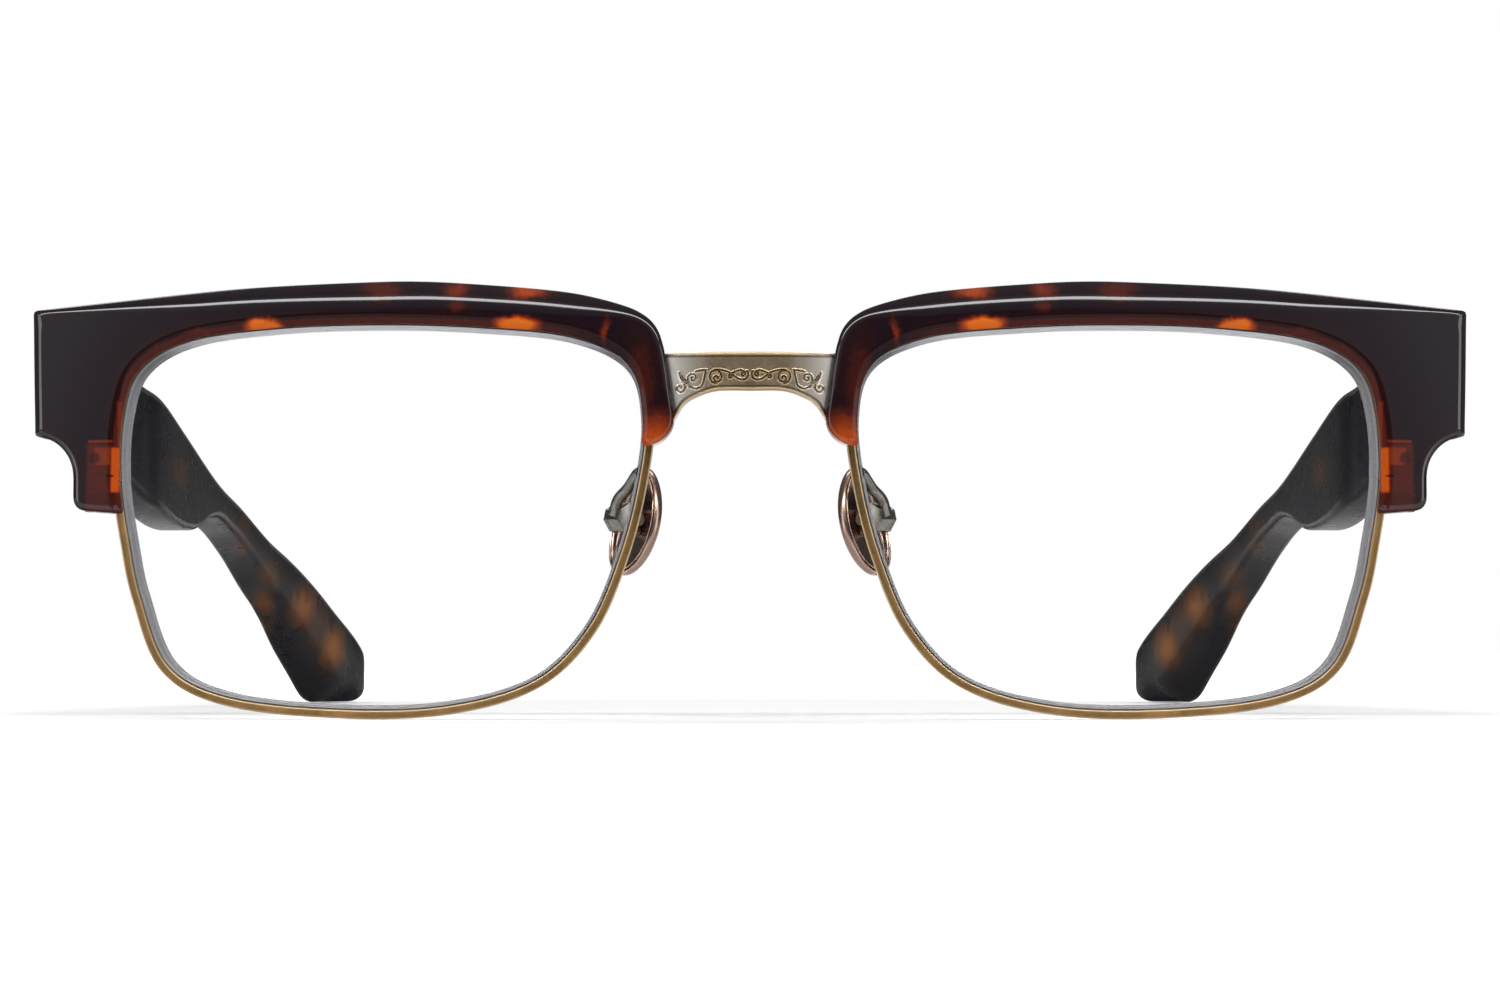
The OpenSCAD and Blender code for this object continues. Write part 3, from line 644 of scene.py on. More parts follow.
def deep_inside(p, ring, margin):
    """Whether p lies inside the ring and further than margin from its points."""
    ahead = np.roll(ring, -1, 0)
    span = (ring[:, 1] > p[1]) != (ahead[:, 1] > p[1])
    a, b = ring[span], ahead[span]
    cut = a[:, 0] + (p[1] - a[:, 1]) * (b[:, 0] - a[:, 0]) / (b[:, 1] - a[:, 1])
    return (cut > p[0]).sum() % 2 == 1 and np.linalg.norm(ring - p, axis=1).min() > margin


def fill(ring, first, gap, lines):
    """Triangles inside a closed ring of 2D points, with new points about gap apart and along
    lines. first is the index of the ring's first vertex. Returns the points, the triangles,
    the vertices of the points that lie on the ring, and the new points."""
    low, high = ring.min(0), ring.max(0)
    inside = []
    for i in range(int((high[1] - low[1]) / gap) + 1):
        for j in range(int((high[0] - low[0]) / gap) + 2):
            p = low + gap * np.array((j + 0.5 * (i % 2), i + 0.5))
            if deep_inside(p, ring, 0.45 * gap) and all(
                    np.linalg.norm(np.asarray(line) - p, axis=1).min() > 0.4 * gap for line in lines):
                inside.append(p)
    edges = [(i, (i + 1) % len(ring)) for i in range(len(ring))]
    extra = []
    for line in lines:
        base = len(ring) + len(extra)
        extra += list(line)
        edges += [(base + i, base + i + 1) for i in range(len(line) - 1)]
    flat = [Vector(p) for p in [*ring, *extra, *inside]]
    points, _, tris, origin, _, _ = delaunay_2d_cdt(flat, edges, [tuple(range(len(ring)))], 1, 1e-7)
    index, new = {}, []
    for i, source in enumerate(origin):
        kept = [s for s in source if s < len(ring)]
        if kept:
            index[i] = first + kept[0]
        else:
            new.append(i)
    return points, tris, index, new


def brow_back(x, z):
    """Y of the bar's back: the curved back, and the flat back of the end block."""
    t = min(max(x - BLOCK_X, BLOCK_Z - z, 0) / BLOCK_SLOPE, 1)
    return (1 - t) * END_Y + t * float(skin(x, z, BROW_BACK))


def brow_bevels(points, groups):
    """The BEVELS values for each point, smoothed along the outline."""
    top = np.interp((points[:, 0] - END_X) / (NOSE_X - END_X), *TOP_BEVEL)
    rows = [(w, w, 0, 0, 1, 1.9) if g == "top" else BEVELS[g] for g, w in zip(groups, top)]
    width, height, step, painted_glow, soft, reach = np.array(rows).T
    width, height, soft, reach = (smooth_ring(v, 12) for v in (width, height, soft, reach))
    return width, height, step, smooth_ring(painted_glow, 4), soft, reach * soft


def brow_rings(points, groups):
    """Rings of points from the front face's rim over the bevel and the wall to the back."""
    width, height, step, painted_glow, soft, reach = brow_bevels(points, groups)
    normals = inward(points)
    rings, painted_glows = [], []

    def add(place, y, painted_shine):
        rings.append(np.stack([place[:, 0], y, place[:, 1]], 1))
        painted_glows.append(painted_shine)

    section = rounded_bevel(width, height, 0.06, 0.9 * soft,
                            np.minimum(0.9 * np.hypot(width, height), reach))
    # the bevel's wall side takes the full painted glow, its face side 0.55 of it
    for k, (inset, depth) in reversed(list(enumerate(section))):
        place = points + normals * inset[:, None]
        add(place, skin(place[:, 0], place[:, 1], -BROW_FRONT) + depth, painted_glow * (1 if k < 8 else 0.55))
    front = skin(points[:, 0], points[:, 1], -BROW_FRONT)
    wall = skin(points[:, 0], points[:, 1], -GAP)
    wall_y = np.maximum(wall, front + section[0][1] + 0.1)
    add(points, np.maximum(0.5 * (front + wall), front + section[0][1] + 0.05), painted_glow)
    add(points, wall_y, painted_glow)
    stepped = points + normals * step[:, None]
    back_y = np.array([brow_back(x, z) for x, z in stepped])
    add(stepped, wall_y, painted_glow * 0.3)
    for t in (0.3, 0.6, 0.9):
        add(stepped, wall_y + (back_y - 0.3 - wall_y) * t, painted_glow * 0)
    for inset, back in ((0.0, 0.3), (0.06, 0.15), (0.18, 0.04), (0.32, 0.0)):
        place = stepped + normals * inset
        add(place, np.array([brow_back(x, z) for x, z in place]) - back, painted_glow * 0)
    return rings, painted_glows


def make_brows(polished, chamfer):
    points, groups = brow_outline()
    rings, painted_glows = brow_rings(points, groups)
    n = len(points)
    verts, painted_shine = list(map(tuple, np.concatenate(rings))), list(np.concatenate(painted_glows))
    faces = skinned(len(rings), n)
    # the front face, and the back with the end block's step along two lines
    step_line = [(BLOCK_X, CROWN_Z), (BLOCK_X, BLOCK_Z), (LOBE_X - NOTCH_R, BLOCK_Z)]
    caps = ((0, lambda x, z: float(skin(x, z, -BROW_FRONT)), ()),
            (len(rings) - 1, brow_back, (0.0, BLOCK_SLOPE)))
    for k, depth_at, offsets in caps:
        ring = rings[k][:, [0, 2]]
        runs = [resample([(x + out, z - out) for x, z in step_line], 0.5) for out in offsets]
        lines = [[p for p in run if deep_inside(p, ring, 0.25)] for run in runs]
        flat, tris, index, new = fill(ring, k * n, 1.0, lines)
        for i in new:
            index[i] = len(verts)
            verts.append((flat[i][0], depth_at(flat[i][0], flat[i][1]), flat[i][1]))
            painted_shine.append(0.0)
        for t in tris:
            t = tuple(index[i] for i in t)
            faces.append(t if k else t[::-1])
    painted_shine = np.array(painted_shine)
    indices = [int(painted_shine[list(face)].mean() > 0.45) for face in faces]
    at = (np.array(verts)[:, 0] - END_X) / (NOSE_X - END_X)
    painted_shine *= np.interp(at, [0.78, 0.92], [1, 0.45])    # the painted glow fades towards the nose
    both_sides("brow", verts, faces, "front", "tortoise_acetate", "brow_bar", [polished, chamfer],
               crisp=48, attributes={"painted_glow": list(painted_shine)}, indices=indices)


# ---- bridge ----
def spiral(cx, cz, r0, r1, start, turns, n=26):
    """A scroll from radius r0 at angle start (degrees) inwards to r1."""
    t = np.linspace(0, 1, n)
    q = np.radians(start + 360 * turns * t)
    r = r0 + (r1 - r0) * t ** 0.8
    return np.stack([cx + r * np.cos(q), cz + r * np.sin(q)], 1)


SCROLLS = [  # traditional scrollwork on one half, from the front: spirals and lines of points
    (-7.05, 33.15, 0.62, 0.12, 70, -1.25), [(-6.85, 33.75), (-6.35, 33.65), (-6.15, 33.25)],
    [(-6.55, 33.7), (-6.95, 34.1), (-7.1, 34.75), (-6.75, 34.3), (-6.45, 33.85)],
    (-5.75, 34.15, 0.55, 0.1, 200, -1.3),
    [(-6.27, 33.95), (-6.05, 33.4), (-5.45, 33.1), (-4.85, 33.35), (-4.62, 34.0), (-4.45, 34.85)],
    [(-5.5, 34.78), (-4.95, 34.92), (-4.35, 34.95)], (-3.35, 34.15, 0.52, 0.1, 20, -1.1),
    [(-2.85, 34.3), (-3.1, 34.8), (-3.75, 34.85), (-4.05, 34.35), (-3.85, 33.8), (-3.4, 33.6)],
    [(-3.6, 34.95), (-2.9, 34.95), (-2.2, 34.75), (-1.95, 34.55)],
    (-1.95, 34.3, 0.25, 0.08, 90, 1.0, 14), [(-1.85, 34.6), (-1.3, 34.85), (-0.85, 34.95)],
    (-0.72, 34.55, 0.34, 0.08, 120, -1.2, 18),
    [(-1.75, 34.5), (-1.3, 34.15), (-0.75, 33.98), (-0.3, 34.15), (-0.18, 34.6), (-0.3, 34.85)]]
BORDER, BORDER_RISE = 0.36, 0.16      # width and height of the raised border
CUT_W, CUT_D = 0.095, 0.13            # half width and depth of the engraved lines


def bridge_floor(x):
    """Z of the bridge's underside."""
    return BRIDGE_TOP - BRIDGE_H - along(stretch(BRIDGE_UNDER), abs(x) / RIM_SIDE) * BRIDGE_LOW


def smooth_step(a, b, x):
    t = min(max((x - a) / (b - a), 0.0), 1.0)
    return t * t * (3 - 2 * t)


def relief(rim, far):
    """How proud the plate stands at rim millimetres from its edge and far from the nearest
    cut, and its mark: bright above 0 and dark below. The mark paints the raised border and the
    burrs beside the cuts brighter, partly polish and partly painted highlight, and the cuts and the
    border's foot darker, partly patina and partly painted shade."""
    rise = BORDER_RISE * smooth_step(BORDER, BORDER - 0.14, rim) - 0.2 * smooth_step(0.16, 0.0, rim)
    burr = 0.05 * smooth_step(CUT_W * 2.1, CUT_W, far) * smooth_step(CUT_W * 0.6, CUT_W, far)
    dip = CUT_D * smooth_step(CUT_W, 0.02, far) - burr
    line = smooth_step(BORDER + 0.2, BORDER + 0.08, rim) * smooth_step(BORDER - 0.1, BORDER, rim)
    bright = smooth_step(BORDER - 0.02, BORDER - 0.12, rim) * smooth_step(0.04, 0.14, rim)
    return rise - dip, bright - 0.8 * line - (0.65 if dip > 0 else 1.3) * dip / CUT_D


def bow(x, r):
    """Y of the plate's bow of radius r at x."""
    return BRIDGE_Y + BRIDGE_R - np.sqrt(r * r - x * x)


def make_bridge(material):
    """A bowed plate with raised borders and engraved scrolls on its front."""
    half = RIM_SIDE - RIM_W + 0.1
    columns, rows = 289, 84
    lines = [spiral(*row) if isinstance(row, tuple) else stretch(row, 6) for row in SCROLLS]
    cuts = np.concatenate([resample(line, 0.05) for line in lines])
    cuts = np.concatenate([cuts, cuts * [-1, 1]])
    front, marks = np.zeros((columns, rows, 3)), np.zeros((columns, rows))
    for i, x in enumerate(np.linspace(-half, half, columns)):
        low = bridge_floor(x)
        slope = (bridge_floor(x + 0.05) - bridge_floor(x - 0.05)) / 0.1
        lean = 1 / math.sqrt(1 + slope * slope)
        near = cuts[np.abs(cuts[:, 0] - x) < 0.4]
        for j in range(rows):
            z = low + (BRIDGE_TOP - low) * j / (rows - 1)
            far = np.min(np.hypot(near[:, 0] - x, near[:, 1] - z), initial=1.0)
            proud, marks[i, j] = relief(min((z - low) * lean, BRIDGE_TOP - z), far)
            front[i, j] = (x, bow(x, BRIDGE_R) + BORDER_RISE - proud, z)
    back = front[:, ::7].copy()
    back[:, :, 1] = bow(back[:, :, 0], BRIDGE_R - BRIDGE_T)
    marks = np.concatenate([marks, np.zeros(back.shape[:2])], 1)
    ring = np.concatenate([front, back[:, ::-1]], 1)
    faces = capped(columns, ring.shape[1], flip=True)
    add_piece("engraved_bridge", ring.reshape(-1, 3), faces, "front", "engraved_gold", "bridge",
              [material], crisp=60, attributes=bright_and_dark(marks.ravel()))


# ---- temples ----
CORNER = 8            # points round each corner of the section
TIP_ROUND = 2.2       # length of the rounding at the tip's end


def temple_section(run, top, low, plan, facet):
    """The points round the temple at run millimetres from its front end."""
    y, share = TEMPLE_Y + run, run / TEMPLE_L
    z_high, z_low, turn = along(top, y), along(low, y), along(plan, share)
    x_in = -(TEMPLE_OUT - TEMPLE_T) + turn * TEMPLE_IN
    x_out = -TEMPLE_OUT + turn * (TEMPLE_IN + TEMPLE_T - TIP_T)
    # rounded ends, front and tip
    pinch = 0.35 * (1 - min(run / 0.7, 1)) ** 2
    end = max(0.0, (run - (TEMPLE_L - TIP_ROUND)) / TIP_ROUND)
    pinch += (x_in - x_out) / 2 * (1 - math.sqrt(max(0.0, 1 - end ** 2))) * 0.4
    x_in, x_out, z_high = x_in - pinch, x_out + pinch, z_high - min(pinch, 0.35)
    if run < 2:
        z_low += min(pinch, 0.3)
    tall, wide = max(z_high - z_low, 0.02), x_in - x_out
    limit = 0.46 * min(tall, wide)
    radii = [(min(r, limit), min(r, limit), 1) for r in (1.1, 1.0, 0.9)]
    # the lower inner corner opens into a facet towards the tip
    high = along(facet, share)
    radii.append((min(0.8 + 1.6 * (high - 0.8), wide - 1.0), min(high, 0.5 * tall),
                  1 + 0.45 * min(max((high - 0.8) / 1.5, 0.0), 1.0)))
    corners = [(x_in, z_high, -1, -1), (x_out, z_high, 1, -1), (x_out, z_low, 1, 1), (x_in, z_low, -1, 1)]
    section = []
    for k, ((cx, cz, sx, sz), (rx, rz, power)) in enumerate(zip(corners, radii)):
        for q in np.radians(np.linspace(90 * k, 90 * k + 90, CORNER)):
            across, up = abs(math.cos(q)) ** power, abs(math.sin(q)) ** power
            section.append((cx + rx * sx * (1 - across), y, cz + rz * sz * (1 - up)))
    return section


def make_temples(polished, satin):
    top, low = ([(TEMPLE_Y + y * TEMPLE_L, z * HINGE_Z) for y, z in stretch(keys)]
                for keys in (SIDE_TOP, SIDE_BOTTOM))
    low = np.array(low + list(arc(TIP_Y - TIP_LOW_R, TIP_LOW_R, TIP_LOW_R, -90, 0, 20)))
    top, plan, facet = np.array(top), stretch(PLAN_IN), stretch(FACET)
    runs = np.concatenate([[0, 0.12, 0.35, 0.7], np.linspace(1.2, TEMPLE_L - 6, 150),
                           TEMPLE_L - 6 * np.cos(np.linspace(0.05, math.pi / 2, 22))[:-1] - 0.1,
                           [TEMPLE_L - 0.12]])
    verts = [v for run in runs for v in temple_section(run, top, low, plan, facet)]
    n, m = len(runs), 4 * CORNER
    faces = capped(n, m, flip=True)
    below = (np.arange(m) >= 2.5 * CORNER).astype(int)     # the underside is satin
    both_sides("acetate_temple", verts, faces, "{}temple_arm", "temple_acetate", "temple",
               [polished, satin], crisp=50, indices=list(np.tile(below, n - 1)) + [0, 0])


# ---- nose pads ----
def pad_place(local):
    """From a pad's own axes (X towards the nose) to the glasses."""
    lean, splay = math.radians(PAD_LEAN), math.radians(PAD_SPLAY)
    x, y, z = np.asarray(local, float).T
    x, z = x * math.cos(lean) + z * math.sin(lean), -x * math.sin(lean) + z * math.cos(lean)
    x, y = x * math.cos(splay) - y * math.sin(splay), x * math.sin(splay) + y * math.cos(splay)
    return np.stack([x - PAD_GAP / 2, y + PAD_Y, z + PAD_Z], 1)


PAD_SECTION = [  # (share of the half size, inset, X from the cup's outer surface, painted highlight lines on the rolled lip or, below 0, painted shade in the crease between them)
    (0.3, 0, 0, 0), (0.6, 0, 0, 0), (0.8, 0, 0, 0), (0.92, 0, 0, 0), (1, 0.22, 0.02, 0.1),
    (1, 0.06, -0.1, 0.25), (1, 0, -0.3, 0.15), (1, 0, -0.6, 0.15), (1, 0.04, -0.82, 0.5),
    (1, 0.14, -0.95, 1), (1, 0.26, -0.92, 0.3), (1, 0.33, -0.78, -1), (1, 0.42, -0.78, -1),
    (1, 0.47, -0.95, 0.2), (1, 0.58, -1.02, 0.9), (1, 0.7, -0.95, 0.2), (1, 0.78, -0.75, -0.3),
    (0.82, 0.3, -0.62, 0), (0.6, 0.1, -0.55, 0), (0.3, 0, -0.55, 0)]


def make_pads(material):
    """Metal cups with a rolled edge, and a tab behind each for the arm's box."""
    n = 72
    verts, edge = [], []
    for share, inset, off, bright in PAD_SECTION:
        for q in np.linspace(0, 2 * math.pi, n, endpoint=False):
            y, z = share * (PAD_W / 2 - inset) * math.cos(q), share * (PAD_H / 2 - inset) * math.sin(q)
            y *= 1 - 0.1 * math.sin(q)
            verts.append((PAD_T - PAD_CUP + math.sqrt(PAD_CUP ** 2 - y * y - z * z) + off, y, z))
            edge.append(bright)
    faces = skinned(len(PAD_SECTION), n)
    for k, off in ((0, 0), (len(PAD_SECTION) - 1, PAD_SECTION[-1][2])):
        fan(verts, faces, n, k, (PAD_T + off, 0, 0))
        edge.append(0)
    tab, tab_faces = soft_box((-1.6, -0.8, -1.3), (0.3, 0.8, 1.3), 0.28)
    verts, faces = joined(verts, faces, tab, tab_faces)
    edge += [0.6] * len(tab)
    both_sides("pad_shell", pad_place(verts), faces, "{}pad", "rose_metal", "nose_pad", [material],
               crisp=50, attributes=bright_and_dark(edge))


def soft_box(low, high, r):
    """A box with rounded edges, as points and faces."""
    bm = bmesh.new()
    made = bmesh.ops.create_cube(bm, size=1.0)
    low, high = np.array(low, float), np.array(high, float)
    for v in made["verts"]:
        v.co = Vector((low + high) / 2 + np.array(v.co) * (high - low))
    bmesh.ops.bevel(bm, geom=bm.edges[:], offset=r, segments=3, profile=0.5, affect="EDGES")
    bm.verts.index_update()
    verts = [tuple(v.co) for v in bm.verts]
    faces = [tuple(v.index for v in f.verts) for f in bm.faces]
    bm.free()
    return verts, faces


def eight_sided(low, high, cuts, soft):
    """A plate across Y with softened rims and cut corners, as points and faces. cuts are the
    cuts in X and Z on the low and the high side in X."""
    (x0, y0, z0), (x1, y1, z1) = low, high
    left, right = cuts
    verts = []
    for y, inset in ((y0, soft), (y0 + soft * 0.3, soft * 0.3), (y0 + soft, 0), (y1 - soft, 0),
                     (y1 - soft * 0.3, soft * 0.3), (y1, soft)):
        a, b, c, d = x0 + inset, x1 - inset, z0 + inset, z1 - inset
        verts += [(a + left, y, c), (b - right, y, c), (b, y, c + right), (b, y, d - right),
                  (b - right, y, d), (a + left, y, d), (a, y, d - left), (a, y, c + left)]
    return verts, capped(6, 8, flip=True)


def tube(path, radii, sides=16):
    """A round tube along path, with one radius for each point."""
    path = np.asarray(path, float)
    ahead = unit(np.gradient(path, axis=0))
    up = np.array((0.3, 0.2, 1.0))
    verts = []
    for p, d, r in zip(path, ahead, radii):
        a = np.cross(d, up)
        a /= np.linalg.norm(a)
        b = np.cross(d, a)
        for q in np.linspace(0, 2 * math.pi, sides, endpoint=False):
            verts.append(p + r * (math.cos(q) * a + math.sin(q) * b))
    return verts, capped(len(path), sides)


ARM_BOX = [  # (low corner, high corner, cuts) of the box's plates in the pad's own axes
    ((-3.16, -1.4, -1.46), (-2.0, 1.4, 1.46), (0.95, 0.1)),
    ((-3.2, -1.46, -1.5), (-0.55, -0.88, 1.5), (0.95, 0.95)),
    ((-3.2, 0.88, -1.5), (-0.55, 1.46, 1.5), (0.95, 0.95))]


def make_arms(material):
    """A bent wire from the rim to a faceted box whose cheeks hold the pad."""
    foot_z = PAD_Z + 4.8
    foot = np.array((-RIM_SIDE - RIM_W / 2, float(skin(-RIM_SIDE, foot_z, 0)) + RIM_D - 0.2, foot_z))
    bend = np.array((-RIM_SIDE - 1.9, PAD_Y - 2.6, PAD_Z + 3.4))
    seat = pad_place([(-2.9, 0, 0)])[0]
    path = stretch([foot, foot + (-0.5, 0.7, -0.1), bend, 0.45 * bend + 0.55 * seat + (-0.25, 0.1, 0.3),
                    seat])
    radii = np.interp(np.linspace(0, 1, len(path)), [0, 0.12, 0.3, 0.85, 1], [0.78, 0.62, 0.56, 0.58, 0.7])
    verts, faces = tube(path, radii)
    for low, high, cuts in ARM_BOX:
        plate, plate_faces = eight_sided(low, high, cuts, 0.16)
        verts, faces = joined(verts, faces, pad_place(plate), plate_faces)
    both_sides("pad_wire", verts, faces, "front", "pad_arm_metal", "pad_arm", [material], crisp=40,
               attributes={"edge": [0.0] * len(verts)})


# ---- carried-over CAD nodes ----
def dress(material, *names):
    for side in ("right_", "left_"):
        for name in names:
            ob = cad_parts[side + name]
            ob.data.materials.clear()
            ob.data.materials.append(material)


# ---- floor, background and light ----
def seen_by_eye(tree):
    """1 for rays that show what is there, from the camera and through glass, and less in gloss."""
    path = node(tree, "ShaderNodeLightPath")
    gloss = math_node(tree, "MULTIPLY", path.outputs["Is Glossy Ray"], PAPER_GLOSS)
    total = math_node(tree, "MAXIMUM", path.outputs["Is Camera Ray"], gloss)
    return math_node(tree, "MAXIMUM", total, path.outputs["Is Transmission Ray"])


# how light the studio is, by the cosine of the angle from straight behind the glasses
STUDIO = [
    (-1.0, 0.03), (-0.915, 0.045), (-0.87, 0.2), (-0.8, 0.3), (-0.743, 0.38), (-0.66, 0.58),
    (-0.45, 0.25), (0.0, 0.26), (0.5, 0.16), (0.84, 0.08), (0.87, 0.2), (0.925, 0.2), (0.945, 0.12),
    (0.965, 0.09), (0.985, 0.12), (0.998, 0.14)]
WALL_FROM = 0.998      # the same cosine at the rim of the white wall that reflections show


def make_world():
    """A lit patch of white wall behind the glasses, in a studio that is dark behind the camera.
    Straight ahead and through the lenses every way looks white."""
    world = bpy.data.worlds.new("studio")
    bpy.context.scene.world = world
    world.use_nodes = True
    tree = world.node_tree
    ahead = parts(tree, node(tree, "ShaderNodeTexCoord").outputs["Generated"])[1]
    shown = ramp(tree, math_node(tree, "MULTIPLY_ADD", ahead, 0.5, 0.5),
                 [(0.5 + 0.5 * c, (level, level, level)) for c, level in STUDIO])
    wall = fall(tree, ahead, WALL_FROM, 1.0, kind="LINEAR")
    path = node(tree, "ShaderNodeLightPath")
    seen = math_node(tree, "MAXIMUM", path.outputs["Is Camera Ray"], path.outputs["Is Transmission Ray"])
    gloss = math_node(tree, "MULTIPLY", path.outputs["Is Glossy Ray"], wall)
    seen = math_node(tree, "MAXIMUM", seen, gloss)
    tree.links.new(blended(tree, seen, shown, (1, 1, 1)), tree.nodes["Background"].inputs["Color"])


FLOOR_FROM, FLOOR_TO = 90, 280   # the floor's own light grows to 1 between these distances,
FLOOR_WIDE = (1.6, 1, 1)         # which count for more to the left and right
PAPER_GLOSS = 0.18               # share of that light in reflections
FLOOR_HALF = 8.0                 # half the floor's width, in metres
FLOOR_BELOW = 0.00002            # how far it lies below the glasses, in metres


def make_floor():
    """White paper that keeps the glasses' shadow and is plain white further off."""
    mesh = bpy.data.meshes.new("floor")
    corners = [(x * FLOOR_HALF, y * FLOOR_HALF, 0) for x, y in ((-1, -1), (1, -1), (1, 1), (-1, 1))]
    mesh.from_pydata(corners, [], [(0, 1, 2, 3)])
    ob = placed("floor", mesh)
    ob.location.z = cad_box[0][2] - FLOOR_BELOW
    material, tree, shader = new_material("floor_paper", Roughness=0.6, Specular_IOR_Level=0.0,
                                          Emission_Color=(1, 1, 1, 1))
    place = mirrored_mm(tree)
    tint = ramp(tree, noise(tree, place, 0.02, 2), [(0.3, [0.765] * 3), (0.7, [0.775] * 3)])
    tree.links.new(tint, shader.inputs["Base Color"])
    away = vector_node(tree, "LENGTH", vector_node(tree, "MULTIPLY", place, FLOOR_WIDE))
    own = math_node(tree, "MULTIPLY", seen_by_eye(tree), fall(tree, away, FLOOR_FROM, FLOOR_TO))
    tree.links.new(own, shader.inputs["Emission Strength"])
    mesh.materials.append(material)


def lamp(name, place, aim, width, height, power):
    data = bpy.data.lights.new(name, "AREA")
    data.shape = "RECTANGLE"
    data.size, data.size_y, data.energy = width, height, power
    ob = placed(name, data)
    ob.location = place
    ob.rotation_euler = (Vector(aim) - Vector(place)).to_track_quat("-Z", "Y").to_euler()
    ob.visible_camera = False


def make_lights():
    front = SHIFT_Y * MM
    aim = (0, front + 0.02, 0.02)
    lamp("key_strip", (0, front - 0.6, 0.64), aim, 1.9, 0.12, 9.0)
    lamp("back_top", (0, front + 0.45, 0.85), aim, 1.0, 0.3, 5.8)
    for side in (-1, 1):
        lamp("side_fill", (side * 0.85, front - 0.44, 0.12), aim, 0.28, 0.7, 2.0)


# ---- the scene ----
make_camera()
make_world()
make_floor()
make_lights()
# the rim's edge colour is partly wear and partly painted highlight; its groove colour is painted shade on the
# inner wall and in the lens groove
gold_rim = metal("antique_gold", (0.125, 0.075, 0.031), (0.3, 0.18, 0.073), 0.34, 9.0,
                 edge=(0.6, 0.44, 0.26), groove=(0.03, 0.028, 0.03))
# the bridge's edge colour is partly polish and partly painted highlight, its groove colour partly patina and
# partly painted shade
gold_bridge = metal("engraved_gold", (0.2, 0.15, 0.095), (0.43, 0.33, 0.212), 0.32, 7.0,
                    edge=(0.5, 0.37, 0.2), groove=(0.03, 0.024, 0.017), silver_from=3.8)
# the pads' edge colour is painted highlight on the rolled lip, their groove colour painted shade in its
# crease
rose = metal("rose_metal", (0.15, 0.105, 0.09), (0.28, 0.195, 0.16), 0.24, 4.0,
             edge=(0.62, 0.44, 0.35), groove=(0.03, 0.02, 0.018), grain_depth=0.000005)
gun = metal("pad_arm_metal", (0.11, 0.104, 0.093), (0.25, 0.235, 0.21), 0.3, 5.0,
            edge=(0.5, 0.47, 0.43), grain_depth=0.000005)
steel = metal("bare_steel", (0.3, 0.29, 0.27), (0.5, 0.48, 0.45), 0.3, 6.0)
hinge_metal = metal("hinge_metal", (0.2, 0.17, 0.12), (0.36, 0.31, 0.22), 0.34, 7.0)
lug_gold = metal("lug_gold", (0.2, 0.145, 0.085), (0.36, 0.28, 0.17), 0.36, 9.0)
brow_spots = [
    (-58.9, 1, 36.9, (2.4, 9, 1.0), 0.4, 0.9), (-54.6, 1, 38.7, (3.2, 9, 0.8), 0.45, 0.9),
    (-48.9, 1, 39.4, (2.1, 9, 0.9), 1.0, 0.6), (-23.4, 1, 39.5, (2.4, 9, 0.9), 1.05, 0.6),
    (-29.5, 1, 43.0, (1.6, 9, 1.0), 0.52, 0.8), (-29.5, 1, 41.3, (1.2, 9, 0.7), 0.42, 0.9),
    (-22.2, 1, 42.9, (2.2, 9, 0.9), 0.72, 0.8), (-37.0, 1, 43.0, (2.4, 9, 1.2), 0.42, 0.9),
    (-14.5, 1, 38.8, (0.45, 9, 1.4), 0.55, 0.9), (-9.6, 1, 27.0, (3.4, 9, 3.6), 0.8, 0.9),
    (-11.2, 1, 33.0, (2.0, 9, 6.0), 0.36, 0.9)]
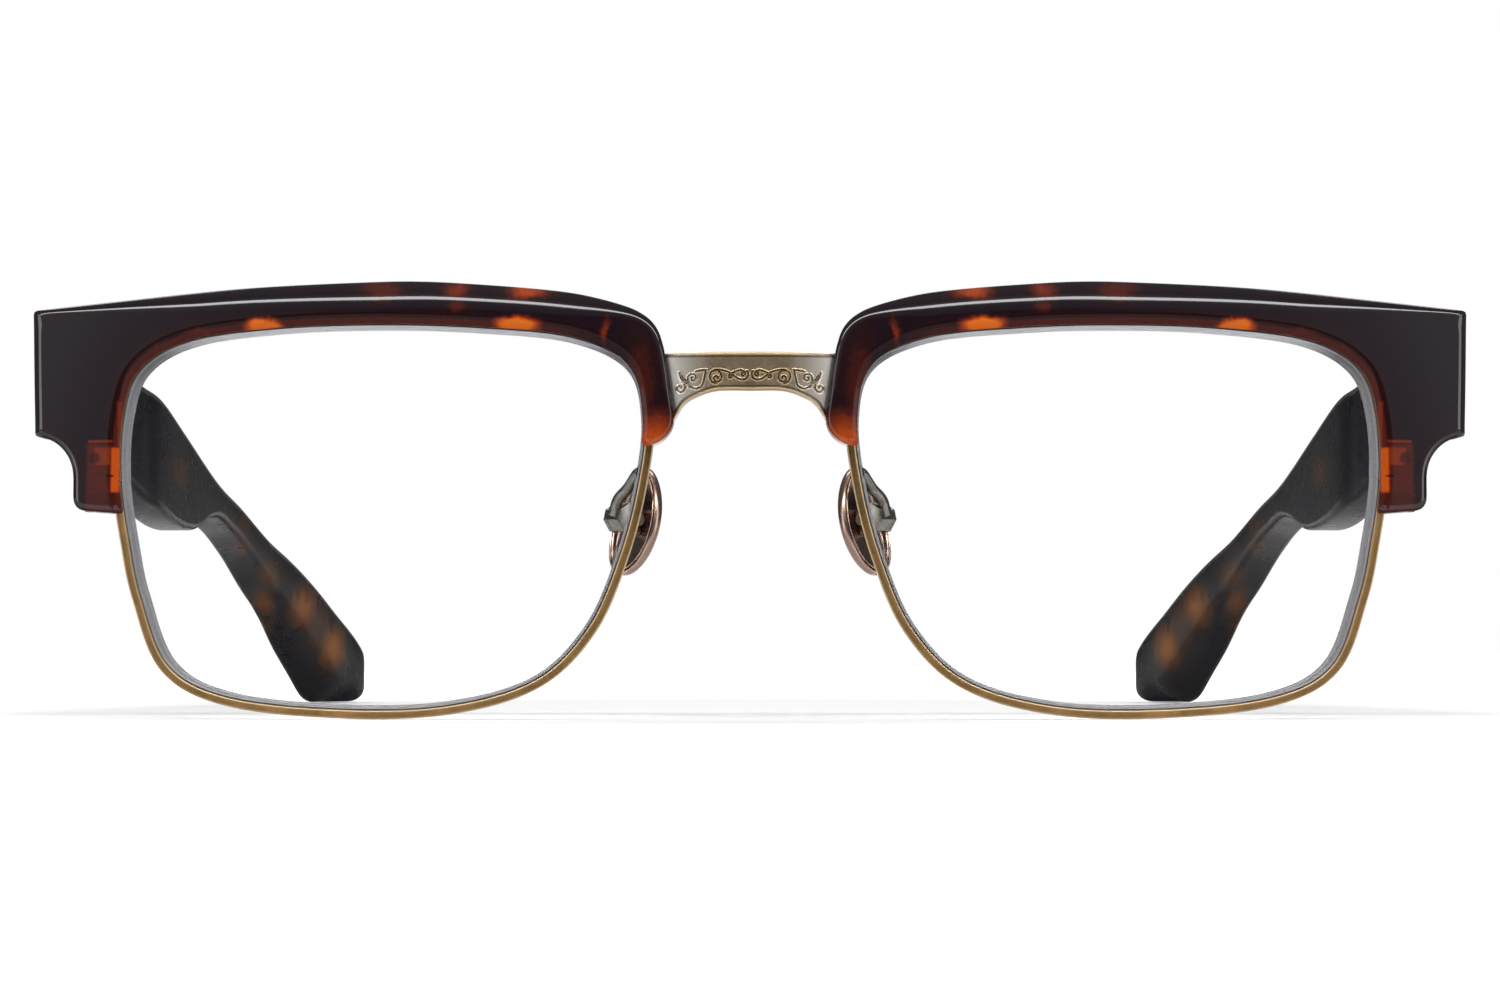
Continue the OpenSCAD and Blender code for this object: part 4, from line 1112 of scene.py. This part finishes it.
# painted glow of light through the lobe's thin acetate over the lug, the rim's split and the screw
brow_boxes = [
    (-65.7, 0, 25.1, (1.0, 9, 2.3), 0.4, 0.9), (-65.4, 0, 26.4, (0.7, 9, 0.7), 0.56, 0.8),
    (-64.05, 0, 25.0, (0.25, 9, 2.1), 0.82, 0.55), (-65.6, 0, 27.9, (1.2, 9, 0.08), 0.52, 0.2),
    (-65.2, 0, 22.0, (1.6, 9, 1.7), 0.34, 1.0), (-63.65, 0, 29.6, (0.1, 9, 2.2), 0.52, 0.55)]
brow_marks = [(-66.2, 6, 26.2, (0.6, 9, 0.6), 0.32, 0.4), (-64.6, 6, 24.4, (0.4, 9, 0.12), 0.6, 0.5)]
brow_acetate, brow_chamfer = [
    tortoise(name, brow_spots, 0.11, 0.66, 0.78, 0.39, brow_boxes, brow_marks, specular=specular)
    for name, specular in (("tortoise_acetate", 0.5), ("tortoise_chamfer", 0.12))]
temple_spots = [
    (-64.0, 54, 26.8, (2.4, 7, 2.2), 0.45, 1.0), (-62.6, 91, 22.5, (1.8, 5, 2.0), 0.3, 1.0),
    (-61.8, 101, 22.0, (1.8, 6, 2.4), 0.4, 1.0), (-60.0, 114, 16.2, (1.8, 6, 2.4), 0.55, 1.0),
    (-57.2, 127.5, 12.4, (2, 5.5, 2.4), 0.95, 1.0), (-61.7, 120, 12.9, (1.3, 5, 2.5), 0.7, 1.0),
    (-62.6, 103, 19.0, (1.5, 4, 1.6), 0.5, 1.0), (-55.8, 132, 10.0, (2, 14, 4.5), 0.42, 1.0),
    (-54.3, 138, 7.2, (2.0, 5.5, 2.6), 1.0, 1.0), (-72, 36, 27, (1.6, 7, 2.2), 0.55, 0.9),
    (-68, 86, 21, (1.6, 5, 2), 0.55, 0.9), (-62, 128, 11, (1.6, 5, 2), 0.6, 0.9)]
polished = tortoise("temple_acetate", temple_spots, 0.09, 0.7, 0.85, stops=AMBER)
satin = tortoise("temple_acetate_satin", temple_spots, 0.09, 0.7, 0.85, roughness=0.25, specular=0.025,
                 stops=AMBER)
make_rims(gold_rim)
make_lenses(clear_glass("clear_lens"), ground_glass("lens_bevel"))
make_brows(brow_acetate, brow_chamfer)
make_bridge(gold_bridge)
make_temples(polished, satin)
make_pads(rose)
make_arms(gun)
dress(lug_gold, "end_lug", "rim_lock")
dress(steel, "closing_screw", "brow_screws", "hinge_screw", "core_wire", "pad_screw")
dress(hinge_metal, "hinge_front", "hinge_temple")

bpy.context.scene.view_settings.view_transform = "Standard"
bpy.context.view_layer.update()
